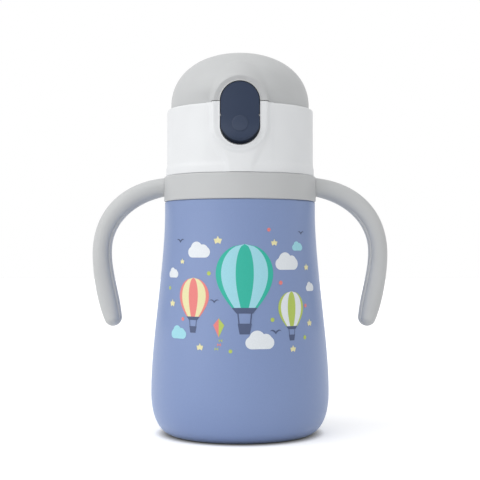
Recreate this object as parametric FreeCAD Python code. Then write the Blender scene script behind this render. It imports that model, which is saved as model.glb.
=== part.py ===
import FreeCAD, Part
import math
import os

# Insulated drinking bottle for a small child: a steel vacuum flask with two side handles, a screw
# lid with a folding silicone spout, and a sprung dome that a rocking button lets go.
# Frame: origin at the centre of the flask's resting ring, +Z up, the button faces -Y,
# the handles reach out along X and the dome's hinge is at the back, towards +Y.

Vec = FreeCAD.Vector
ORIGIN = Vec(0, 0, 0)
X_AXIS = Vec(1, 0, 0)
Y_AXIS = Vec(0, 1, 0)
Z_AXIS = Vec(0, 0, 1)

TINY = 0.01               # tolerance for recognising an edge by its place

# ---- named clearances ----
FIXED_GAP = 0.02          # between pieces that are assembled once and stay put
RUNNING_GAP = 0.05        # radial, pin in its turning hole
MOVING_GAP = 0.3          # between pieces that pass each other
SEAM_GAP = 0.3            # visible seam between two covers
SEAT_GAP = 0.12           # between the screwed-down collar and the handle ring
RIM_GAP = 0.35            # radial, between the dome's skirt and the collar's well
HINGE_SIDE_GAP = 0.2

# ---- flask ----
BODY_R = 40.05            # widest radius of the barrel
BODY_WIDEST_Z = 18.8
FOOT_R = 29.7             # where the rounded foot meets the ground
FOOT_FULLNESS = 0.62
SHOULDER_W = 4.83         # width of the ledge that carries the handle ring
SHOULDER_Z = 104.2
SHOULDER_STRAIGHT_H = 5.1
BARREL_PULL = 23.15       # how far each end of the barrel's curve stays upright
SHOULDER_EDGE_R = 0.8
OUTER_WALL = 0.6
NECK_R = 29.0
NECK_H = 22.8
NECK_WALL = 0.9
FOOT_RIM_W = 1.8
FOOT_RECESS = 1.6
SHOULDER_R = NECK_R + SHOULDER_W
SHOULDER_STRAIGHT_Z = SHOULDER_Z - SHOULDER_STRAIGHT_H
NECK_TOP_Z = SHOULDER_Z + NECK_H

# ---- inner flask, base cap and getter ----
VACUUM_GAP = 3.2
NECK_VACUUM_GAP = 0.4
INNER_WALL = 0.6
INNER_FLOOR_Z = 6.0
INNER_FLOOR_CORNER = 9.0
LIP_T = 0.6
BASE_CAP_T = 0.6
BASE_DIMPLE_R = 9.0
BASE_DIMPLE_DEPTH = 0.5
GETTER_R = 5.0
GETTER_T = 1.8
INNER_NECK_R = NECK_R - NECK_WALL - NECK_VACUUM_GAP

# ---- handle ring and handles ----
RING_OUT = 0.42           # how far the ring stands out over the shoulder
RING_H = 11.15
RING_EDGE_R = 0.6
RING_SOCKET_DEPTH = 1.5
HANDLE_DEPTH = 11.0
HANDLE_OUTREACH = 32.4    # how far the handles stand out from the ring
HANDLE_GRIP_T = 8.48      # thickness at the widest point
HANDLE_ROOT_T = 8.3
HANDLE_ROOT_DROP = 0.2    # the root's upper edge lies this far under the ring's top
HANDLE_ROOT_SINK = 0.6
HANDLE_OUTER_BEND_H = 34.65
HANDLE_INNER_BEND_H = 33.55
HANDLE_TIP_H = 63.25      # from the ring's top down to the centre of the round tip
HANDLE_TIP_IN = 9.2       # from the outermost point in to the centre of the round tip
HANDLE_TIP_R = 3.9
HANDLE_ROUND = 3.0
HANDLE_ROOT_FALL_DEG = 4.9      # slope of the root's upper edge
HANDLE_ROOT_RISE_DEG = 10.8     # slope of the root's lower edge
HANDLE_TIP_OUTER_DEG = 114      # heading where the outer side runs into the round tip
HANDLE_TIP_INNER_DEG = 276      # heading where the round tip runs into the inner side
HANDLE_OUTER_ROOT_PULL = 20.0   # the pulls shape the curves between those points
HANDLE_OUTER_BEND_PULL = 20.1
HANDLE_OUTER_LOW_PULL = 9.0
HANDLE_OUTER_TIP_PULL = 8.5
HANDLE_INNER_TIP_PULL = 12.0
HANDLE_INNER_LOW_PULL = 9.9
HANDLE_INNER_BEND_PULL = 12.8
HANDLE_INNER_ROOT_PULL = 14.9
TENON_T = 5.0
TENON_W = 6.0
RING_R = SHOULDER_R + RING_OUT
RING_TOP_Z = SHOULDER_Z + RING_H
HANDLE_REACH = RING_R + HANDLE_OUTREACH

# ---- screw thread, three starts ----
THREAD_STARTS = 3
THREAD_LEAD = 9.0
THREAD_HEIGHT = 1.0       # how far the neck's ridges stand out
THREAD_ENGAGE = 0.65      # how far the two sets of ridges overlap, seen along the axis
THREAD_ROOT_W = 1.3
THREAD_CREST_W = 0.7
THREAD_SINK = 0.25        # depth of the ridge's root inside its wall
THREAD_TURN = 0.45        # length of each ridge, in turns
THREAD_RISE = 2.65        # from the ring's top to the start of the neck's ridges
THREAD_DROP = 1.3         # the collar's ridges lie this far under the neck's
THREAD_FIRST_Z = RING_TOP_Z + THREAD_RISE
COLLAR_BORE_R = NECK_R + THREAD_HEIGHT + MOVING_GAP
COLLAR_THREAD_R = NECK_R + THREAD_HEIGHT - THREAD_ENGAGE

# ---- deck and gasket, stacked on the flask's lip ----
GASKET_T = 1.6
DECK_T = 1.6
DECK_LAP = 0.1            # how far the deck reaches over the neck's outside
DECK_SPIGOT_T = 1.2
DECK_SPIGOT_DEPTH = 4.0
SPIGOT_GAP = 0.7
WEB_T = 1.6
WEB_LEDGE = 2.5           # how far the collar's web reaches in from the neck's outside
DECK_R = NECK_R + DECK_LAP
WEB_HOLE_R = NECK_R - WEB_LEDGE
DECK_Z = NECK_TOP_Z + LIP_T + GASKET_T
WEB_Z = DECK_Z + DECK_T   # underside of the collar's web
DECK_TOP_Z = WEB_Z + WEB_T
DECK_SPIGOT_R = INNER_NECK_R - INNER_WALL - SPIGOT_GAP

# ---- lid collar ----
COLLAR_WALL = 1.5         # round the well
COLLAR_SKIRT_WALL = 2.6   # round the threaded bore
WELL_DEPTH = 12.8         # from the deck up to the rim
BEAD_OUT = 0.45
BEAD_EDGE = 0.25          # softening of the bead's lower edge
BEAD_H = 2.45
BEAD_TOP_H = 5.15
RIM_EDGE_R = 0.9
COLLAR_R = COLLAR_BORE_R + COLLAR_SKIRT_WALL
COLLAR_BOTTOM_Z = RING_TOP_Z + SEAT_GAP
COLLAR_RIM_Z = DECK_TOP_Z + WELL_DEPTH
COLLAR_WELL_R = COLLAR_R - COLLAR_WALL

# ---- island round the button, shared by the collar and the dome ----
PAD_OUT = 1.0             # how far the island's face stands out from the collar
PAD_W = 23.3
PAD_H = 32.0
PAD_DROP = 4.8            # the island's centre lies this far under the collar's rim
PAD_RAISE = 0.25          # the collar's share of the island ends this far over its rim
PAD_EDGE_R = 0.6
POCKET_DEPTH = 6.4
POCKET_WALL = 1.2
POCKET_FLOOR_T = 1.0
BUTTON_FOOT_GAP = 0.5     # room below the button for its swing
PAD_R = COLLAR_R + PAD_OUT
PAD_Z = COLLAR_RIM_Z - PAD_DROP
PAD_SPLIT_Z = COLLAR_RIM_Z + PAD_RAISE
POCKET_Y = PAD_R - POCKET_DEPTH
DEEP_POCKET_Z = DECK_TOP_Z + POCKET_FLOOR_T
FAIRING_STEP = 0.7        # how far the fairing lies behind the island's face
FAIRING_GROWTH = 9.0      # how much the island's fairing widens towards the dome
FAIRING_LENGTH = 14.0
FAIRING_TUCK = 1.35       # how far the fairing's front is narrower than the island, each side
FAIRING_BLEND_R = 2.5
FAIRING_RISE = 12.0       # height over which the fairing grows out of the dome's foot

# ---- button ----
BUTTON_SIDE_W = 3.4       # width of the island's face beside the button
BUTTON_TOP_W = 2.7        # above it
BUTTON_FOOT_W = 2.8       # and below it
BUTTON_SINK = 0.1
BUTTON_FOOT_RAISE = 2.4   # how far the face ends over the foot of its sloping lower wall
BUTTON_T = 2.2
BUTTON_FOOT_T = 2.5
BUTTON_SWELL = 2.2        # how far the lower end stands out
BUTTON_PIVOT_DROP = 0.75
BUTTON_PIVOT_DEPTH = 3.4
BUTTON_PIN_R = 0.8
BUTTON_PIN_GRIP = 1.6     # how deep the pin sits in each side of the island
BUTTON_LUG_W = 3.0
BUTTON_LUG_X = 5.6
BUTTON_DISC_R = 3.4
BUTTON_DISC_DROP = 4.6
BUTTON_DISC_T = 0.15
BUTTON_NOTCH = 0.5
HOOK_W = 6.0
HOOK_RAISE = 10.2         # from the pivot up to the hook's underside
HOOK_T = 1.4
HOOK_REACH = 2.7
CATCH_T = 1.6
BUTTON_SPRING_R = 1.5
BUTTON_SPRING_DROP = 4.0
BUTTON_SPRING_WIRE_R = 0.3
BUTTON_SPRING_TURNS = 3
BUTTON_W = PAD_W - 2 * BUTTON_SIDE_W
BUTTON_H = PAD_H - BUTTON_TOP_W - BUTTON_FOOT_W
BUTTON_R = PAD_R - BUTTON_SINK
BUTTON_FOOT_R = BUTTON_R + BUTTON_SWELL - BUTTON_FOOT_T
BUTTON_Z = PAD_Z + (BUTTON_FOOT_W - BUTTON_TOP_W) / 2
BUTTON_PIVOT_Z = BUTTON_Z - BUTTON_PIVOT_DROP
BUTTON_PIVOT_Y = BUTTON_R - BUTTON_PIVOT_DEPTH
BUTTON_PIN_X = BUTTON_W / 2 + MOVING_GAP + BUTTON_PIN_GRIP
BUTTON_DISC_Z = BUTTON_Z - BUTTON_DISC_DROP
BUTTON_SPRING_Z = BUTTON_PIVOT_Z - BUTTON_SPRING_DROP
HOOK_Z = BUTTON_PIVOT_Z + HOOK_RAISE
HOOK_REACH_Y = BUTTON_R - BUTTON_T - HOOK_REACH

# ---- dome ----
DOME_RAISE = 1.9          # from the collar's rim up to where the dome's curve starts
DOME_H = 23.9
DOME_FULLNESS = 0.6
DOME_WALL = 1.5
SKIRT_LAP = 2.8
DOME_R = COLLAR_WELL_R - RIM_GAP
DOME_SPRING_Z = COLLAR_RIM_Z + DOME_RAISE

# ---- dome hinge ----
HINGE_OUT = 0.5
HINGE_RAISE = 1.3
HINGE_PIN_R = 1.0
KNUCKLE_R = 2.8
EAR_INNER_X = 4.6
EAR_W = 3.6
KNUCKLE_W = 4.0
KNUCKLE_FOOT_H = 9.0
HINGE_NOTCH = 3.6         # depth of the collar's notch below the pin
HINGE_SPRING_R = 1.75
HINGE_SPRING_WIRE_R = 0.3
HINGE_SPRING_TURNS = 8
DOME_LEG = 5.5
COLLAR_LEG = 3.0
HINGE_Y = COLLAR_R + HINGE_OUT
HINGE_Z = COLLAR_RIM_Z + HINGE_RAISE
EAR_OUTER_X = EAR_INNER_X + EAR_W
KNUCKLE_INNER_X = EAR_OUTER_X + HINGE_SIDE_GAP
KNUCKLE_OUTER_X = KNUCKLE_INNER_X + KNUCKLE_W

# ---- spout, straw and vent ----
SPOUT_Y = 5.0
SPOUT_STEM_R = 6.1
SPOUT_FLANGE_R = 8.6
SPOUT_FLANGE_T = 1.6
SPOUT_FLANGE_EDGE = 1.0
SPOUT_BALL_R = 5.0
SPOUT_WAIST_R = 4.4
SPOUT_TIP_R = 5.0
SPOUT_PIVOT_RAISE = 6.2
SPOUT_START = 3.6         # from the bend's centre to the mouthpiece's lower end
SPOUT_RIM_T = 1.0
SPOUT_WAIST_UP = 24.0     # from the bend's centre to the narrowest part
SPOUT_LENGTH = 33.0
SPOUT_BORE_R = 2.2
SPOUT_FOLD_DEG = 48.0
STRAW_R = 3.2
STRAW_WALL = 0.6
STRAW_FLOOR_GAP = 2.4
STRAW_SLANT_DEG = 35
VENT_X = 15.0
VENT_Y = 6.0
VENT_STEM_R = 1.6
VENT_CAP_R = 4.2
VENT_CAP_T = 0.9
VENT_STOP_R = 2.4
BUMPER_R = 7.0
BUMPER_T = 1.4
BUMPER_Y = 14.0
SPOUT_PIVOT_Z = DECK_TOP_Z + SPOUT_PIVOT_RAISE
STRAW_FOOT_Z = INNER_FLOOR_Z + INNER_WALL + STRAW_FLOOR_GAP

# ---- cutters run out to here, clear of every piece ----
CLEAR = HANDLE_REACH + BODY_R
CLEAR_Z = DOME_SPRING_Z + CLEAR


# ---------------------------------------------------------------- helpers
def save(shape, name):
    """Write one node, which is a single solid, as a STEP file."""
    assert shape.isValid() and len(shape.Solids) == 1, name
    shape.Solids[0].exportStep(os.path.join("parts", name + ".step"))
    print(name, round(shape.Volume, 1))


def in_plane(point):
    """A point given as (radius or x, z) in the XZ plane."""
    return Vec(point[0], 0, point[1])


def line(start, end):
    return Part.LineSegment(in_plane(start), in_plane(end)).toShape()


def curve(*points):
    """A Bezier curve in the XZ plane."""
    bezier = Part.BezierCurve()
    bezier.setPoles([in_plane(point) for point in points])
    return bezier.toShape()


def polyline(*points):
    return [line(start, end) for start, end in zip(points, points[1:])]


def turned(edges):
    """Revolve a closed outline in the XZ plane about Z."""
    face = Part.Face(Part.Wire(Part.__sortEdges__(edges)))
    return face.revolve(ORIGIN, Z_AXIS, 360)


def turned_polygon(*points):
    return turned(polyline(*points, points[0]))


def drum(radius, low, high, x=0.0, y=0.0):
    """An upright cylinder."""
    return Part.makeCylinder(radius, high - low, Vec(x, y, low))


def block(low, high):
    """A box from its lowest to its highest corner."""
    size = Vec(*high) - Vec(*low)
    return Part.makeBox(size.x, size.y, size.z, Vec(*low))


def cross_rod(radius, x_from, x_to, y, z):
    """A cylinder along X."""
    return Part.makeCylinder(radius, x_to - x_from, Vec(x_from, y, z), X_AXIS)


def obround_wire(width, height, centre_z, y):
    """An upright slot outline in a plane of constant y."""
    half_w = width / 2
    straight = (height - width) / 2
    top = centre_z + straight
    bottom = centre_z - straight
    right = Part.LineSegment(Vec(half_w, y, bottom), Vec(half_w, y, top)).toShape()
    over = Part.Arc(Vec(half_w, y, top), Vec(0, y, top + half_w), Vec(-half_w, y, top)).toShape()
    left = Part.LineSegment(Vec(-half_w, y, top), Vec(-half_w, y, bottom)).toShape()
    under = Part.Arc(Vec(-half_w, y, bottom), Vec(0, y, bottom - half_w), Vec(half_w, y, bottom)).toShape()
    return Part.Wire([right, over, left, under])


def obround(width, height, centre_z, y_from, y_to):
    """An upright slot shape pushed along Y."""
    face = Part.Face(obround_wire(width, height, centre_z, y_from))
    return face.extrude(Vec(0, y_to - y_from, 0))


def coil(radius, wire_r, turns, length):
    """A closed-end coil spring that stands on the origin along Z."""
    pitch = length / turns
    helix = Part.makeHelix(pitch, length, radius)
    start = Part.Circle(Vec(radius, 0, 0), Y_AXIS, wire_r).toShape()
    return Part.Wire(helix.Edges).makePipeShell([Part.Wire([start])], True, True)


# ---------------------------------------------------------------- flask
def barrel_outline(inset):
    """Foot, barrel and upright shoulder, moved inwards by inset, from the foot upwards."""
    widest = BODY_R - inset
    shoulder = SHOULDER_R - inset
    foot = (BODY_R - FOOT_R) * FOOT_FULLNESS
    rise = BODY_WIDEST_Z * FOOT_FULLNESS
    foot_curve = curve((FOOT_R, inset), (FOOT_R + foot, inset),
                       (widest, BODY_WIDEST_Z - rise), (widest, BODY_WIDEST_Z))
    side = curve((widest, BODY_WIDEST_Z), (widest, BODY_WIDEST_Z + BARREL_PULL),
                 (shoulder, SHOULDER_STRAIGHT_Z - BARREL_PULL), (shoulder, SHOULDER_STRAIGHT_Z))
    return [foot_curve, side]


def make_outer_shell():
    top = SHOULDER_Z - OUTER_WALL
    neck_in = NECK_R - NECK_WALL
    rim_in = FOOT_R - FOOT_RIM_W
    outside = barrel_outline(0)
    outside.append(line((SHOULDER_R, SHOULDER_STRAIGHT_Z), (SHOULDER_R, SHOULDER_Z)))
    outside += polyline((SHOULDER_R, SHOULDER_Z), (NECK_R, SHOULDER_Z), (NECK_R, NECK_TOP_Z),
                        (neck_in, NECK_TOP_Z), (neck_in, top), (SHOULDER_R - OUTER_WALL, top),
                        (SHOULDER_R - OUTER_WALL, SHOULDER_STRAIGHT_Z))
    inside = barrel_outline(OUTER_WALL)
    seat = FOOT_RECESS + OUTER_WALL
    bottom = polyline((FOOT_R, OUTER_WALL), (FOOT_R, seat), (rim_in - OUTER_WALL, seat),
                      (rim_in - OUTER_WALL, FOOT_RECESS), (rim_in, FOOT_RECESS), (rim_in, 0), (FOOT_R, 0))
    shell = turned(outside + inside + bottom)
    edges = [edge for edge in shell.Edges if is_ring(edge, SHOULDER_R, SHOULDER_Z)]
    shell = shell.makeFillet(SHOULDER_EDGE_R, edges)
    ridges = thread_ridges(NECK_R, NECK_R + THREAD_HEIGHT, THREAD_FIRST_Z, THREAD_SINK)
    return shell.fuse(ridges).removeSplitter()


def is_ring(edge, radius, height):
    """True for a circular edge of this radius at this height."""
    if not isinstance(edge.Curve, Part.Circle):
        return False
    centre = edge.Curve.Center
    return abs(edge.Curve.Radius - radius) < TINY and abs(centre.z - height) < TINY


def thread_ridges(root_r, crest_r, first_z, sink):
    """The helical ridges of a multi-start thread, each a short ramp with blunt ends."""
    outward = 1 if crest_r > root_r else -1
    root = root_r - outward * sink
    outline = [Vec(root, 0, -THREAD_ROOT_W / 2), Vec(crest_r, 0, -THREAD_CREST_W / 2),
               Vec(crest_r, 0, THREAD_CREST_W / 2), Vec(root, 0, THREAD_ROOT_W / 2)]
    outline.append(outline[0])
    helix = Part.makeHelix(THREAD_LEAD, THREAD_LEAD * THREAD_TURN, root_r)
    ridge = Part.Wire(helix.Edges).makePipeShell([Part.makePolygon(outline)], True, True)
    ridges = []
    for start in range(THREAD_STARTS):
        copy = ridge.copy()
        copy.translate(Vec(0, 0, first_z))
        copy.rotate(ORIGIN, Z_AXIS, 360 * start / THREAD_STARTS)
        ridges.append(copy)
    return ridges


def make_inner_flask():
    """The steel liner, with a lip that is welded to the outer neck."""
    gap = OUTER_WALL + VACUUM_GAP
    top = SHOULDER_Z - gap
    return turned(liner_outline(gap, top, INNER_NECK_R, INNER_FLOOR_Z)
                  + liner_return(gap + INNER_WALL, top - INNER_WALL))


def liner_outline(inset, top, neck, floor):
    """The liner's outer side, from the floor's centre to the lip's outer edge."""
    widest = BODY_R - inset
    shoulder = SHOULDER_R - inset
    corner = INNER_FLOOR_CORNER
    side = curve((widest, BODY_WIDEST_Z), (widest, BODY_WIDEST_Z + BARREL_PULL),
                 (shoulder, SHOULDER_STRAIGHT_Z - BARREL_PULL), (shoulder, SHOULDER_STRAIGHT_Z - inset))
    foot = curve((widest - corner, floor), (widest, floor), (widest, BODY_WIDEST_Z))
    edges = [line((0, floor), (widest - corner, floor)), foot, side]
    return edges + polyline((shoulder, SHOULDER_STRAIGHT_Z - inset), (shoulder, top), (neck, top),
                            (neck, NECK_TOP_Z), (NECK_R, NECK_TOP_Z), (NECK_R, NECK_TOP_Z + LIP_T))


def liner_return(inset, top):
    """The liner's inner side, from the lip back down to the floor's centre."""
    widest = BODY_R - inset
    shoulder = SHOULDER_R - inset
    floor = INNER_FLOOR_Z + INNER_WALL
    corner = INNER_FLOOR_CORNER
    mouth = INNER_NECK_R - INNER_WALL
    edges = polyline((NECK_R, NECK_TOP_Z + LIP_T), (mouth, NECK_TOP_Z + LIP_T), (mouth, top),
                     (shoulder, top), (shoulder, SHOULDER_STRAIGHT_Z - inset))
    edges.append(curve((shoulder, SHOULDER_STRAIGHT_Z - inset),
                       (shoulder, SHOULDER_STRAIGHT_Z - BARREL_PULL),
                       (widest, BODY_WIDEST_Z + BARREL_PULL), (widest, BODY_WIDEST_Z)))
    edges.append(curve((widest, BODY_WIDEST_Z), (widest, floor), (widest - corner, floor)))
    edges.append(line((widest - corner, floor), (0, floor)))
    edges.append(line((0, floor), (0, INNER_FLOOR_Z)))
    return edges


def make_base_cap():
    """The plate that closes the foot, seated under the shell's ledge, with a shallow dimple."""
    radius = FOOT_R - FOOT_RIM_W - FIXED_GAP
    top = FOOT_RECESS
    low = top - BASE_CAP_T
    ramp = BASE_DIMPLE_R + 2 * BASE_DIMPLE_DEPTH
    rise = BASE_DIMPLE_DEPTH
    return turned_polygon((0, low + rise), (BASE_DIMPLE_R, low + rise), (ramp, low), (radius, low),
                          (radius, top), (ramp, top), (BASE_DIMPLE_R, top + rise), (0, top + rise))


def make_vacuum_getter():
    bottom = FOOT_RECESS + BASE_DIMPLE_DEPTH
    return drum(GETTER_R, bottom, bottom + GETTER_T)


# ---------------------------------------------------------------- handles
def make_handle_ring():
    """The ring on the flask's shoulder, with a socket on each side for a handle's tenon."""
    inner = NECK_R + THREAD_HEIGHT + MOVING_GAP
    ring = turned_polygon((inner, SHOULDER_Z), (RING_R, SHOULDER_Z),
                          (RING_R, RING_TOP_Z), (inner, RING_TOP_Z))
    rims = [edge for edge in ring.Edges
            if is_ring(edge, RING_R, SHOULDER_Z) or is_ring(edge, RING_R, RING_TOP_Z)]
    ring = ring.makeFillet(RING_EDGE_R, rims)
    for side in (-1, 1):
        ring = ring.cut(tenon(side, FIXED_GAP))
    return ring


def tenon(side, gap):
    """The square tongue at a handle's root, with an optional gap all round."""
    middle = (SHOULDER_Z + RING_TOP_Z) / 2
    half_t = TENON_T / 2 + gap
    half_w = TENON_W / 2 + gap
    ends = sorted((side * (RING_R - RING_SOCKET_DEPTH - gap), side * (RING_R + RING_SOCKET_DEPTH)))
    return block((ends[0], -half_w, middle - half_t), (ends[1], half_w, middle + half_t))


def bend(start, start_deg, start_pull, end, end_deg, end_pull):
    """A curve that leaves start and reaches end along these headings, in degrees from +X."""
    leave = math.radians(start_deg)
    reach = math.radians(end_deg)
    first = (start[0] + start_pull * math.cos(leave), start[1] + start_pull * math.sin(leave))
    last = (end[0] - end_pull * math.cos(reach), end[1] - end_pull * math.sin(reach))
    return curve(start, first, last, end)


def handle_outline():
    """The right handle's side view: out of the ring, down to a rounded free tip and back."""
    root_x = math.sqrt(RING_R ** 2 - (HANDLE_DEPTH / 2) ** 2) - HANDLE_ROOT_SINK
    inner_x = HANDLE_REACH - HANDLE_GRIP_T
    top_z = RING_TOP_Z - HANDLE_ROOT_DROP
    outer_top = (root_x, top_z)
    inner_top = (root_x, top_z - HANDLE_ROOT_T)
    outer_bend = (HANDLE_REACH, RING_TOP_Z - HANDLE_OUTER_BEND_H)
    inner_bend = (inner_x, RING_TOP_Z - HANDLE_INNER_BEND_H)
    down = -90
    back_up = down - 180
    outer_deg = -HANDLE_TIP_OUTER_DEG
    inner_deg = -HANDLE_TIP_INNER_DEG
    outer_low = tip_point(outer_deg - down)
    inner_low = tip_point(inner_deg - down)
    under = tip_point((outer_deg + inner_deg) / 2 - down)
    tip = Part.Arc(in_plane(outer_low), in_plane(under), in_plane(inner_low)).toShape()
    return [
        bend(outer_top, -HANDLE_ROOT_FALL_DEG, HANDLE_OUTER_ROOT_PULL,
             outer_bend, down, HANDLE_OUTER_BEND_PULL),
        bend(outer_bend, down, HANDLE_OUTER_LOW_PULL, outer_low, outer_deg, HANDLE_OUTER_TIP_PULL),
        tip,
        bend(inner_low, inner_deg, HANDLE_INNER_TIP_PULL, inner_bend, back_up, HANDLE_INNER_LOW_PULL),
        bend(inner_bend, back_up, HANDLE_INNER_BEND_PULL,
             inner_top, -180 - HANDLE_ROOT_RISE_DEG, HANDLE_INNER_ROOT_PULL),
        line(inner_top, outer_top),
    ]


def tip_point(angle_deg):
    """A point on the handle's round tip."""
    angle = math.radians(angle_deg)
    centre_x = HANDLE_REACH - HANDLE_TIP_IN
    centre_z = RING_TOP_Z - HANDLE_TIP_H
    return (centre_x + HANDLE_TIP_R * math.cos(angle), centre_z + HANDLE_TIP_R * math.sin(angle))


def make_handle(side):
    """A grip with well rounded edges and a tenon that sits in the ring's socket."""
    grip = Part.Face(Part.Wire(handle_outline())).extrude(Vec(0, HANDLE_DEPTH, 0))
    grip.translate(Vec(0, -HANDLE_DEPTH / 2, 0))
    root = grip.BoundBox.XMin
    long_edges = [edge for edge in grip.Edges
                  if edge.BoundBox.YLength < TINY and edge.BoundBox.XMax > root + TINY]
    grip = grip.makeFillet(HANDLE_ROUND, long_edges)
    grip = grip.cut(drum(RING_R + FIXED_GAP, 0, CLEAR_Z)).fuse(tenon(1, 0)).removeSplitter()
    if side < 0:
        grip = grip.mirror(ORIGIN, X_AXIS)
    return grip


# ---------------------------------------------------------------- island and pocket
def island(low, high):
    """The raised obround round the button, with an upright cylindrical face."""
    raised = obround(PAD_W, PAD_H, PAD_Z, -CLEAR, -POCKET_Y).common(drum(PAD_R, 0, CLEAR_Z))
    face = max(raised.Faces, key=lambda item: -item.CenterOfMass.y)
    raised = raised.makeFillet(PAD_EDGE_R, face.Edges)
    return raised.common(drum(CLEAR, low, high))


def pocket(low, high, floor_y):
    """The button's obround pocket between two heights, with a flat floor."""
    height = BUTTON_H + MOVING_GAP + BUTTON_FOOT_GAP
    centre_z = BUTTON_Z + (MOVING_GAP - BUTTON_FOOT_GAP) / 2
    room = obround(BUTTON_W + 2 * MOVING_GAP, height, centre_z, -CLEAR, -floor_y)
    return room.common(drum(CLEAR, low, high))


def pocket_housing(low, high, outer):
    """The block behind the island that holds the pocket's floor."""
    inner_y = POCKET_Y - POCKET_WALL
    housing = obround(PAD_W, PAD_H, PAD_Z, -CLEAR, -inner_y)
    return housing.common(drum(CLEAR, low, high)).common(outer)


# ---------------------------------------------------------------- lid collar
def collar_blank():
    """The collar's outer form as a full round: bead, straight wall and rounded rim."""
    bead_r = COLLAR_R + BEAD_OUT
    foot_r = bead_r - BEAD_EDGE
    bead_z = COLLAR_BOTTOM_Z + BEAD_H
    top_z = COLLAR_BOTTOM_Z + BEAD_TOP_H
    edge_z = COLLAR_BOTTOM_Z + BEAD_EDGE
    pull = BEAD_H / 2
    edges = [
        line((0, COLLAR_BOTTOM_Z), (foot_r, COLLAR_BOTTOM_Z)),
        line((foot_r, COLLAR_BOTTOM_Z), (bead_r, edge_z)),
        line((bead_r, edge_z), (bead_r, bead_z)),
        curve((bead_r, bead_z), (bead_r, bead_z + pull),
              (COLLAR_R, top_z - pull), (COLLAR_R, top_z)),
    ]
    edges += polyline((COLLAR_R, top_z), (COLLAR_R, COLLAR_RIM_Z), (0, COLLAR_RIM_Z), (0, COLLAR_BOTTOM_Z))
    blank = turned(edges)
    rim = [edge for edge in blank.Edges if is_ring(edge, COLLAR_R, COLLAR_RIM_Z)]
    return blank.makeFillet(RIM_EDGE_R, rim)


def collar_hollow():
    """Threaded bore, deck seat, web hole and the well above the web."""
    seat_z = DECK_Z - GASKET_T / 2
    seat_r = DECK_R + FIXED_GAP
    return turned_polygon((0, 0), (COLLAR_BORE_R, 0), (COLLAR_BORE_R, seat_z), (seat_r, seat_z),
                          (seat_r, WEB_Z), (WEB_HOLE_R, WEB_Z), (WEB_HOLE_R, DECK_TOP_Z),
                          (COLLAR_WELL_R, DECK_TOP_Z), (COLLAR_WELL_R, CLEAR_Z), (0, CLEAR_Z))


def knuckle(side):
    """One of the collar's two hinge knuckles, on a foot that runs down the wall."""
    x_from = KNUCKLE_INNER_X if side > 0 else -KNUCKLE_OUTER_X
    wall_y = math.sqrt(COLLAR_WELL_R ** 2 - KNUCKLE_INNER_X ** 2) + FIXED_GAP
    back_y = HINGE_Y + KNUCKLE_R
    foot_z = HINGE_Z - KNUCKLE_FOOT_H
    outline = [Vec(x_from, wall_y, foot_z), Vec(x_from, COLLAR_R - COLLAR_WALL / 3, foot_z),
               Vec(x_from, back_y, HINGE_Z - KNUCKLE_R / 2), Vec(x_from, back_y, HINGE_Z),
               Vec(x_from, HINGE_Y, HINGE_Z), Vec(x_from, wall_y, COLLAR_RIM_Z - RIM_EDGE_R)]
    foot = Part.Face(Part.makePolygon(outline + [outline[0]])).extrude(Vec(KNUCKLE_W, 0, 0))
    return foot.fuse(cross_rod(KNUCKLE_R, x_from, x_from + KNUCKLE_W, HINGE_Y, HINGE_Z))


def make_lid_collar():
    collar = collar_blank().fuse(island(COLLAR_BOTTOM_Z, PAD_SPLIT_Z))
    collar = collar.cut(collar_hollow())
    housing_z = WEB_Z + WEB_T / 2
    well = drum(COLLAR_R - COLLAR_WALL / 3, housing_z, PAD_SPLIT_Z)
    collar = collar.fuse(pocket_housing(housing_z, PAD_SPLIT_Z, well))
    shallow = pocket(0, DEEP_POCKET_Z, 0).cut(drum(COLLAR_BORE_R + POCKET_WALL, 0, DEEP_POCKET_Z))
    collar = collar.cut([shallow, pocket(DEEP_POCKET_Z, CLEAR_Z, POCKET_Y)])
    collar = collar.cut(cross_rod(BUTTON_PIN_R + FIXED_GAP, -BUTTON_PIN_X, BUTTON_PIN_X,
                                  -BUTTON_PIVOT_Y, BUTTON_PIVOT_Z))
    notch_z = HINGE_Z - HINGE_NOTCH
    collar = collar.cut(block((-KNUCKLE_INNER_X, 0, notch_z), (KNUCKLE_INNER_X, CLEAR, CLEAR_Z)))
    collar = collar.fuse([knuckle(-1), knuckle(1)])
    collar = collar.cut(cross_rod(HINGE_PIN_R + FIXED_GAP, -CLEAR, CLEAR, HINGE_Y, HINGE_Z))
    ridges = thread_ridges(COLLAR_BORE_R, COLLAR_THREAD_R, THREAD_FIRST_Z - THREAD_DROP, THREAD_SINK)
    return collar.fuse(ridges).removeSplitter()


# ---------------------------------------------------------------- dome
def dome_round(inset):
    """The dome and its skirt as a full round, moved inwards by inset."""
    radius = DOME_R - inset
    height = DOME_H - inset
    top = DOME_SPRING_Z + height
    bottom = COLLAR_RIM_Z - SKIRT_LAP
    side = DOME_SPRING_Z + height * DOME_FULLNESS
    edges = polyline((0, bottom), (radius, bottom), (radius, DOME_SPRING_Z))
    edges.append(curve((radius, DOME_SPRING_Z), (radius, side), (radius * DOME_FULLNESS, top), (0, top)))
    edges.append(line((0, top), (0, bottom)))
    return turned(edges)


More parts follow.
